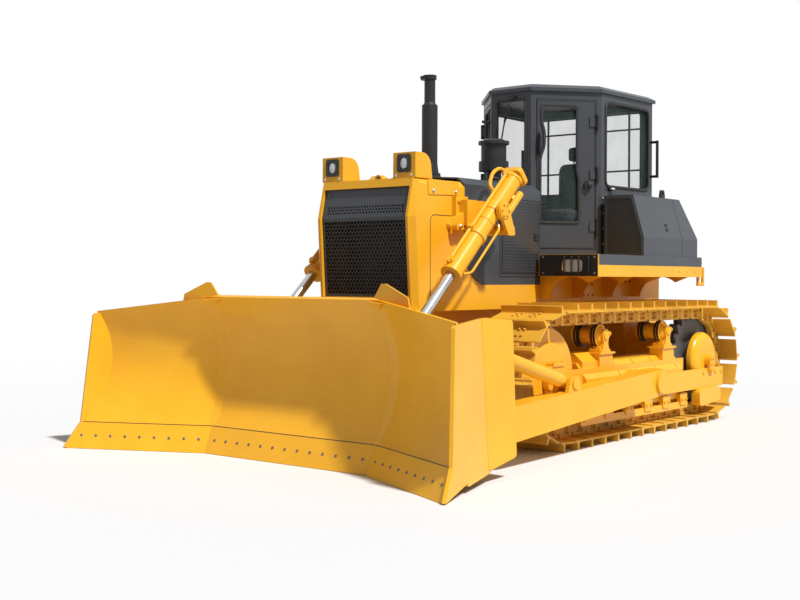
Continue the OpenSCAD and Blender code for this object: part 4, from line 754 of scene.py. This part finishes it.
grip_path = bent([(0.072, 2.47, 0), (0.072, 2.47, 0.04), (0.078, 2.64, 0.04), (0.078, 2.64, 0)], 0.02)
grip = on_wall(DOOR_WALL, grip_path[:, :2]) + grip_path[:, 2:] * DOOR_WALL[2]
grip_plate = block_on(DOOR_WALL, 0.06, 0.086, 2.445, 2.665, -0.001, 0.006)
door_latch = join(block_on(DOOR_WALL, 0.5, 0.56, 2.165, 2.215, 0.0, 0.034, 0.012),
                  moved(turned([(0.02, 0), (0.02, 0.016), (0.014, 0.02)], 14), facing(DOOR_WALL[2]),
                        on_wall(DOOR_WALL, [(0.545, 2.19)], 0.033)))
fitting = join(pipe(grip, 0.01, up=DOOR_WALL[1]), grip_plate, door_latch)
for side, hand in SIDES.items():
    piece(f"door_fittings_{side}", mirrored(fitting, hand), black, f"door_{side}")
hinge_axis = on_wall(DOOR_WALL, [(0.6245, 0.0)], 0.016)
barrel = turned([(0.012, -0.07), (0.0165, -0.066), (0.0165, 0.066), (0.012, 0.07)], 14)
hinges = moved(barrel, UPRIGHT, hinge_axis + np.array([1.814, 2.2895, 2.765])[:, None] * Z)
keeper = block_on(SIDE_WALL, 0.11, 0.19, 2.15, 2.185, 0.0, 0.03, 0.01)
stub = pipe(bent([(1.56, -0.235, 2.79), (1.565, -0.3, 2.79), (1.565, -0.33, 2.8)], 0.02), 0.013, up=X)
piece("cab_fittings", join(both(join(hinges, keeper)), stub), black)
keeper_places = on_wall(SIDE_WALL, [(0.135, 2.168), (0.165, 2.168)], 0.03)
post_places = on_wall(SIDE_WALL, [(0.03, z) for z in (1.66, 1.8, 1.94, 2.08)])
cab_bolts = join(bolts(0.01, keeper_places, SIDE_WALL[2]), bolts(0.008, post_places, SIDE_WALL[2]))
piece("cab_bolts", both(cab_bolts), zinc)

# %% [markdown]
# The windscreen has one wiper: a motor cover above the glass, a bent arm and a thin blade against the pane.
# The rear window is barred.

# %% Wiper and rear window bars
arm_path = [(1.606, 0.02, 2.985), (1.616, 0.01, 2.96), (1.612, -0.05, 2.8), (1.606, -0.062, 2.77)]
arm = pipe(bent(arm_path, 0.02), 0.006, up=Y)
wiper_blade = carried(strip(0.003, 0.003, -0.008, 0.008),
                      [(1.602, 0.01, 2.9), (1.603, -0.062, 2.76), (1.602, -0.11, 2.52)], X)
motor = block_on(FRONT_WALL, -0.015, 0.055, 2.972, 3.006, 0.0, 0.022, 0.01)
piece("wiper", join(arm, wiper_blade, motor), black)
BARS_X = 0.19
bars = [pipe([(BARS_X, y, 2.185), (BARS_X, y, 2.97)], 0.011, up=X) for y in (-0.46, 0.46)]
bars += [pipe([(BARS_X, -0.585, z), (BARS_X, 0.585, z)], 0.009, up=X) for z in (2.4, 2.8)]
piece("rear_window_bars", join(*bars), black)

# %% [markdown]
# Work lamps: each guard lamp has a square black bezel with an oval lens, and each fender lamp looks out of a
# black panel behind three guard bars.

# %% Lamps
LAMP_X, LAMP_Y, LAMP_Z = 3.615, 0.365, 2.221
bezel_out = box_line(LAMP_Y - 0.066, LAMP_Y + 0.066, 2.152, 2.29, 0.022)
angle = around(len(bezel_out)) - np.pi * 0.75
oval = np.stack([LAMP_Y + 0.036 * np.cos(angle), LAMP_Z + 0.047 * np.sin(angle)], axis=1)
bezel = grid(np.stack([at(0, LAMP_X - 0.004, bezel_out), at(0, LAMP_X + 0.008, bezel_out),
                       at(0, LAMP_X + 0.012, oval + 0.12 * (bezel_out - oval)), at(0, LAMP_X + 0.002, oval)]))
share = np.linspace(1, 0.05, 7)[:, None, None]
dome = np.array([LAMP_Y, LAMP_Z]) + share * (oval - [LAMP_Y, LAMP_Z])
bulge = np.broadcast_to(LAMP_X + 0.003 + 0.012 * np.sqrt(1 - share ** 2), (*dome.shape[:2], 1))
lens_shape = grid(np.concatenate([bulge, dome], axis=2))
lamp_bolts = bolts(0.009, [(LAMP_X, LAMP_Y + y, 2.13) for y in (-0.075, 0.075)], X)
piece("lamp_bezels", both(bezel), gasket)
piece("lamp_lenses", both(lens_shape), lens)
piece("lamp_bolts", both(lamp_bolts), zinc)

FENDER_X = 1.963
panel = box_line(0.548, 1.112, 1.366, 1.546, 0.01)
window = box_line(0.77, 0.97, 1.402, 1.505, 0.03)
back, front = FENDER_X + 0.0004, FENDER_X + 0.004
panel_rings = [at(0, back, panel), at(0, front, panel), at(0, front, window), at(0, back, window)]
front_panel = grid(np.stack(panel_rings), loop=True)
root, out = FENDER_X + 0.002, FENDER_X + 0.02
guard_bars = [pipe(bent([(root, y, 1.38), (out, y, 1.384), (out, y, 1.526), (root, y, 1.53)], 0.012),
                   0.0065, up=Y) for y in (0.8, 0.87, 0.94)]
out = FENDER_X + 0.018
hook_path = [(root, 1.01, 1.385), (out, 1.01, 1.392), (out, 1.035, 1.405), (out, 1.035, 1.52),
             (root, 1.02, 1.53)]
hook_bar = pipe(bent(hook_path, 0.012), 0.0075, up=Y)
piece("fender_front_panels", both(join(front_panel, *guard_bars, hook_bar)), black)
bolt_places = [(front, y, z) for y in (0.585, 1.085) for z in (1.39, 1.525)]
piece("fender_panel_bolts", both(bolts(0.009, bolt_places, X)), iron)

# %% [markdown]
# Each lift cylinder carries its own plumbing: a cap with bolts on its upper end, a bent pipe into its side, a
# short guard tube and a clamp. They are drawn along the cylinder's own axis, from its pivot to its rod's eye.
# The yoke that holds the cylinder gets a bolted cap outside and a lug with a pin inside.

# %% Lift cylinder plumbing
PIVOT, EYE_END = np.array([2.915, 0.705, 1.879]), np.array([4.18, 0.705, 0.725])
axis_x = unit(EYE_END - PIVOT)
cylinder_axes = np.stack([axis_x, Y, np.cross(axis_x, Y)], axis=1)
BARREL_R = 0.075


def band(x0, x1, radius, sides=24):
    """A hoop round the cylinder's axis between two distances along it."""
    inner, shoulder = BARREL_R - 0.003, radius - 0.004
    profile = [(inner, x0), (shoulder, x0), (radius, x0 + 0.004), (radius, x1 - 0.004), (shoulder, x1),
               (inner, x1)]
    return moved(turned(profile, sides, loop=True), facing(X), (0, 0, 0))


head_cap = extruded(box_line(-0.09, 0.09, -0.082, 0.082, 0.035), 0, -0.45, -0.405)
cap_bolts = bolts(0.014, [(-0.45, y, z) for y in (-0.062, 0.062) for z in (-0.055, 0.055)], -X)
feed_path = [(-0.4, -0.04, 0.07), (-0.395, -0.075, 0.125), (-0.3, -0.085, 0.15),
             (-0.18, -0.07, 0.12), (-0.16, -0.04, 0.072)]
feed = pipe(bent(feed_path, 0.045, 7), 0.016, up=Y)
ELBOWS = {0.026: (-0.4, -0.035, 0.062), 0.024: (-0.16, -0.036, 0.064)}
elbow = join(*[moved(turned([(wide, -0.006), (wide, 0.016), (wide - 0.005, 0.02)], 12), UPRIGHT, place)
               for wide, place in ELBOWS.items()])
guard_tube = moved(turned([(0.02, -0.3), (0.03, -0.3), (0.03, -0.04), (0.02, -0.04)], 14),
                   facing(X), (0, 0.08, -0.078))
strap_line = rounded([(0.03, -0.07), (0.075, -0.11), (0.105, -0.085), (0.06, -0.03)], 0.01, 3)
tube_strap = extruded(strap_line, 0, -0.24, -0.2)
clamp_block = extruded(box_line(-0.02, 0.02, 0.07, 0.122, 0.006, 3), 0, 0.29, 0.33)
clamp = join(band(0.285, 0.335, BARREL_R + 0.01), clamp_block, bolts(0.01, [(0.31, 0.02, 0.104)], Y))
thin_path = [(0.09, 0.07, -0.06), (0.13, 0.09, -0.085), (0.64, 0.09, -0.085), (0.69, 0.06, -0.05)]
thin_pipe = pipe(bent(thin_path, 0.03), 0.01)
gland = join(band(0.735, 0.758, BARREL_R + 0.012), band(0.15, 0.165, BARREL_R + 0.005))
PLUMBING = {"pipes": (join(head_cap, feed, elbow, tube_strap, clamp, thin_pipe, gland), yellow),
            "tube": (guard_tube, yellow), "bolts": (cap_bolts, zinc)}
for side, hand in SIDES.items():
    for kind, (shape, finish) in PLUMBING.items():
        placed = mirrored(moved(shape, cylinder_axes, PIVOT), hand)
        piece(f"cylinder_{kind}_{side}", placed, finish, f"lift_barrel_{side}")
YOKE_Y, CAP_RING = 0.82, 0.048
cap_places = [(CAP_RING * math.cos(a), CAP_RING * math.sin(a), 0.009) for a in around(6)]
yoke_cap = join(turned([(0.07, 0), (0.07, 0.006), (0.06, 0.01), (0.03, 0.01)], 24),
                bolts(0.01, cap_places, Z))
yoke_cap = moved(yoke_cap, facing(Y), (PIVOT[0], YOKE_Y, PIVOT[2]))
lug_line = [(3.166, 1.853), (3.054, 1.884), (3.054, 1.819), (3.132, 1.725), (3.22, 1.716), (3.231, 1.754)]
yoke_lug = join(extruded(rounded(lug_line, 0.018), 1, 0.5005, 0.585),
                bolts(0.013, [(3.15, 0.54, 1.95), (3.05, 0.54, 1.95)], Y))
piece("yoke_caps", both(join(yoke_cap, yoke_lug)), yellow)
lug_pin = moved(turned([(0.018, 0), (0.018, 0.014), (0.012, 0.02)], 14), facing(Y), (3.19, 0.584, 1.748))
piece("yoke_pins", both(lug_pin), zinc)

# %% [markdown]
# The upper run of each track rests on two carrier rollers. Each has two treads between black flanges, and a
# split clamp on a foot holds its shaft.

# %% Carrier rollers
CARRIER_X, CARRIER_Z = (0.75075, 1.89735), 0.86822
FOOT_Z, FOOT_TOP = -0.1333, -0.112
carriers = [(x, TRACK_Y, CARRIER_Z) for x in CARRIER_X]
roller = turned([(0.055, -0.131), (0.083, -0.128), (0.085, -0.108), (0.0965, -0.105), (0.0965, -0.062),
                 (0.074, -0.056), (0.074, 0.056), (0.0965, 0.062), (0.0965, 0.105), (0.085, 0.108),
                 (0.07, 0.128), (0.05, 0.132)], 32)
flanges = join(*[turned([(0.09, a), (0.098, a + 0.002), (0.098, a + 0.022), (0.09, a + 0.024)], 32)
                 for a in (-0.105, -0.08, 0.056, 0.081)])
clamp_line = rounded([(-0.055, FOOT_Z), (0.055, FOOT_Z), (0.05, -0.1), (0.034, -0.06), (0.05, -0.01),
                      (0.046, 0.04), (0.02, 0.056), (-0.03, 0.056), (-0.042, 0.034), (-0.076, 0.04),
                      (-0.08, 0.0), (-0.05, -0.014), (-0.036, -0.06), (-0.05, -0.1)], 0.01, 3)
clamp_post = extruded(clamp_line, 1, 0.062, 0.158)
foot = extruded(box_line(-0.081, 0.081, 0.032, 0.16, 0.012, 3), 2, FOOT_Z, FOOT_TOP)
shaft = moved(turned([(0.036, 0.15), (0.036, 0.168), (0.024, 0.172)], 18), facing(Y), (0, 0, 0))
post_bolts = join(bolts(0.012, [(x, y, FOOT_TOP) for x in (-0.066, 0.066) for y in (0.055, 0.135)], Z),
                  bolts(0.011, [(-0.06, 0.158, 0.018)], Y))
holder = join(clamp_post, foot, shaft, post_bolts)
wheels = join(moved(roller, facing(Y), carriers), moved(holder, UPRIGHT, carriers))
piece("carrier_wheels", both(wheels), yellow, stands_for=["carrier_rollers"])
piece("carrier_flanges", both(moved(flanges, facing(Y), carriers)), black)

# %% [markdown]
# The track frame is welded from plates and closed by bolted covers. Only heads and joint lines show, so they
# are bolts in rows and thin strips laid on the sloping cover.

# %% Bolts and joints of the track frames
ROLLERS = 0.50236 + 0.349056 * np.arange(6)
frame_bolts = join(bolts(0.013, [(x + d, 1.196, 0.24) for x in ROLLERS for d in (-0.038, 0.038)], Y),
                   bolts(0.012, [(x, 1.222, 0.455) for x in (-0.255, -0.12, 0.14)], Y),
                   bolts(0.011, [(x, 1.25, z) for x in (-0.024, 0.024) for z in (0.482, 0.536, 0.59)], Y),
                   bolts(0.012, [(2.64 + d, 1.16, 0.6845) for d in (-0.05, 0.09)], Z))
piece("frame_bolts", both(frame_bolts), yellow)
SLOPE = np.array([0, 0.788, 0.616])
joints = [carried(thin, [(x, 1.099, 0.65), (x, 1.188, 0.5357)], SLOPE) for x in (0.62, 1.02, 1.36, 1.7)]
piece("cover_joints", both(join(*joints)), gasket)

# %% [markdown]
# Between the fender's ribs the hull is drilled for other fittings, and the yellow strip has three small
# bolts. A hole seen from outside is dark with the shade inside it, so each is a shallow near-black dimple
# with a rim: painted shade.

# %% Fender holes as painted shade, and bolts
hole = turned([(0.013, 0.0), (0.012, 0.0012), (0.009, 0.0006)], 12)
HULL_Y = 0.496
HOLES = [(1.187, 1.312), (1.129, 1.312), (1.057, 1.29), (0.968, 1.29), (0.713, 1.309), (1.114, 1.192),
         (1.041, 1.191), (0.959, 1.191), (0.32, 1.316), (0.239, 1.316)]
# Each near-black dimple is painted shade for the dark inside of a hole.
piece("fender_hole_shades", both(moved(hole, facing(Y), at(1, HULL_Y, HOLES))), gasket)
piece("fender_bolts", both(bolts(0.007, [(x, 1.118, 1.413) for x in (0.107, 0.27, 0.439)], Y)), yellow)

# %% [markdown]
# The front face of the box beside the cab lies in deep shade, so a thin near-black sheet inside a grey rim is
# laid on it as painted shade. Its slanted lid has two flush latches.

# %% Side box front shade and latches
LID_OUT = (0, 0.38, 0.107)
front_shade_line = rounded([(0.725, 1.566), (1.08, 1.566), (1.08, 1.712), (0.978, 2.072), (0.725, 2.072)], 0.02, 4)
# A thin near-black sheet on the box's front face: painted shade.
piece("box_front_shades", both(extruded(front_shade_line, 0, 1.1214, 1.1228)), gasket)
rim = carried(strip(0.007, 0.005, 0, 0.006), at(0, 1.121, front_shade_line), X, loop=True)
piece("box_rims", both(rim), grey)
latch = extruded(box_line(-0.026, 0.026, -0.014, 0.014, 0.006, 3), 2, -0.004, 0.003)
latch_places = [(0.62, 1.067, 1.835), (0.62, 1.078, 1.795)]
piece("box_latches", both(moved(latch, facing(LID_OUT), latch_places)), black)

# %% [markdown]
# A lip is folded over each of the blade's two bends at the top. It is a thin plate between three points.

# %% Lips of the blade
def plate_between(corners, thick):
    """A thin triangle: three corners in the first ring, and the same corners moved along their normal."""
    corners = np.asarray(corners, float)
    normal = unit(np.cross(corners[1] - corners[0], corners[2] - corners[0]))
    return grid(np.stack([corners, corners + thick * normal]))


lip = plate_between([(4.488, 0.735, 1.186), (4.462, 0.822, 1.128), on_wing((4.488, 0.905, 1.172))], 0.006)
piece("blade_lips", both(lip), yellow, "blade")

# %% [markdown]
# The operator's seat stands on a sprung base behind rubber bellows, with foam pads under woven cloth. A pad
# begins as a smooth rounded block, a little too small. It is remeshed to even quads, and cloth with air
# pressure inside swells it, as foam fills its cover. Each point is held within a small distance of where it
# began, so the pad keeps its form.

# %% Seat
QUAD_SIZE, PRESSURE, FRAMES, SWELL_CAP = 0.006, 4.0, 20, 0.012


def pad_block(middle, half, square=0.3, rings=25, sides=48):
    """A rounded block: sines and cosines of two angles, raised to a small power with their sign kept."""
    up = np.linspace(-0.49, 0.49, rings)[:, None] * np.pi
    round_z = around(sides)[None, :]

    def power(value):
        return np.sign(value) * np.abs(value) ** square

    wide = power(np.cos(up))
    parts = wide * power(np.cos(round_z)), wide * power(np.sin(round_z)), power(np.sin(up))
    return grid(np.asarray(middle) + np.stack(np.broadcast_arrays(*parts), axis=-1) * half)


def swell(pad, cap):
    """Even quads, some frames of cloth under pressure without weight, and each point's way cut to the cap."""
    remesh = pad.modifiers.new("even", "REMESH")
    remesh.mode, remesh.voxel_size = "VOXEL", QUAD_SIZE
    graph = bpy.context.evaluated_depsgraph_get()
    pad.data = bpy.data.meshes.new_from_object(pad.evaluated_get(graph))
    pad.modifiers.clear()
    began = np.empty(3 * len(pad.data.vertices))
    pad.data.vertices.foreach_get("co", began)
    cover = pad.modifiers.new("cover", "CLOTH")
    cover.settings.use_pressure = True
    cover.settings.uniform_pressure_force = PRESSURE
    cover.settings.effector_weights.gravity = 0.0
    for step in range(FRAMES):
        scene.frame_set(1 + step)
    swollen = np.empty_like(began)
    pad.evaluated_get(bpy.context.evaluated_depsgraph_get()).data.vertices.foreach_get("co", swollen)
    pad.modifiers.clear()
    scene.frame_set(1)
    way = (swollen - began).reshape(-1, 3)
    way *= np.minimum(1, cap / np.maximum(np.linalg.norm(way, axis=1, keepdims=True), 1e-9))
    pad.data.vertices.foreach_set("co", began + way.ravel())
    pad.data.shade_smooth()
    print(f"{pad.name}: swelled by up to {np.linalg.norm(way, axis=1).max():.4f} m")


PADS = {"seat_cushion": ((0.66, 0, 1.935), (0.242, 0.234, 0.064), ["seat"]),
        "seat_back": ((0.366, 0, 2.2), (0.05, 0.222, 0.29), []),
        "seat_head": ((0.357, 0, 2.575), (0.034, 0.112, 0.068), [])}
for name, (middle, half, solids) in PADS.items():
    pad = piece(name, pad_block(middle, half), cloth, sharp=180, stands_for=solids)
    swell(pad, SWELL_CAP)
    smooth = pad.modifiers.new("smooth", "SUBSURF")
    smooth.levels = smooth.render_levels = 1
FOLDS, FOLD_DEPTH = 11, 0.014
insets = FOLD_DEPTH * (np.arange(FOLDS) % 2)
folds = [box_line(0.435 + d, 0.795 - d, -0.175 + d, 0.175 - d, 0.03) for d in insets]
bellows = grid(np.stack([at(2, z, fold) for fold, z in zip(folds, np.linspace(1.597, 1.862, FOLDS))]))
piece("seat_base", bellows, gasket, sharp=60)
arm_line = rounded([(0.44, 2.112), (0.795, 2.1), (0.795, 2.15), (0.44, 2.163)], 0.022)
arm_pad = extruded(arm_line, 1, 0.262, 0.328)
arm_stalk = extruded(box_line(0.44, 0.5, 1.9, 2.115, 0.012, 3), 1, 0.256, 0.288)
head_posts = [pipe([(0.357, y, 2.44), (0.357, y, 2.54)], 0.007, up=X) for y in (-0.06, 0.06)]
piece("seat_arms", join(both(join(arm_pad, arm_stalk)), *head_posts), black)

# %% [markdown]
# Behind the cab stands the fuel tank. The photograph doesn't show it, so it gets what tanks of this kind
# carry: a bolted cover with a line round it, a filler cap and two round work lamps. The hood has a joint and
# two handles.

# %% Tank and hood details
TANK_X, TANK_TOP = -0.495, 2.05
cover_path = at(0, TANK_X, box_line(-0.56, 0.56, 1.5, 1.78, 0.05))
cover_bolts = bolts(0.01, [(TANK_X, y, z) for y in np.linspace(-0.5, 0.5, 6) for z in (1.53, 1.75)], -X)
filler_profile = [(0.07, 0), (0.07, 0.012), (0.055, 0.016), (0.055, 0.05), (0.046, 0.06), (0.018, 0.06)]
filler = moved(turned(filler_profile, 24), UPRIGHT, (-0.15, 0.35, TANK_TOP))
cup = turned([(0.05, -0.002), (0.066, 0.02), (0.072, 0.045), (0.066, 0.05), (0.06, 0.044)], 28)
glass_disc = turned([(0.061, 0.04), (0.054, 0.0455), (0.03, 0.0495), (0.006, 0.051)], 28)
rear_lamps = [(TANK_X, y, 1.86) for y in (-0.5, 0.5)]
piece("tank_seam", carried(thin, cover_path, -X, loop=True), gasket)
piece("tank_cover", join(cover_bolts, filler), yellow)
piece("rear_lamp_cups", moved(cup, facing(-X), rear_lamps), black)
piece("rear_lamp_lenses", moved(glass_disc, facing(-X), rear_lamps), lens)
hood_top = [(-0.498, 2.097), (-0.43, 2.1503), (0.0, 2.18), (0.43, 2.1503), (0.498, 2.097)]
grip_path = at(1, 0.33, [(2.28, 2.155), (2.28, 2.195), (2.4, 2.195), (2.4, 2.155)])
piece("hood_joint", carried(thin, at(0, 2.445, hood_top), Z), gasket)
piece("hood_grips", both(pipe(bent(grip_path, 0.02), 0.009, up=Y)), grey)
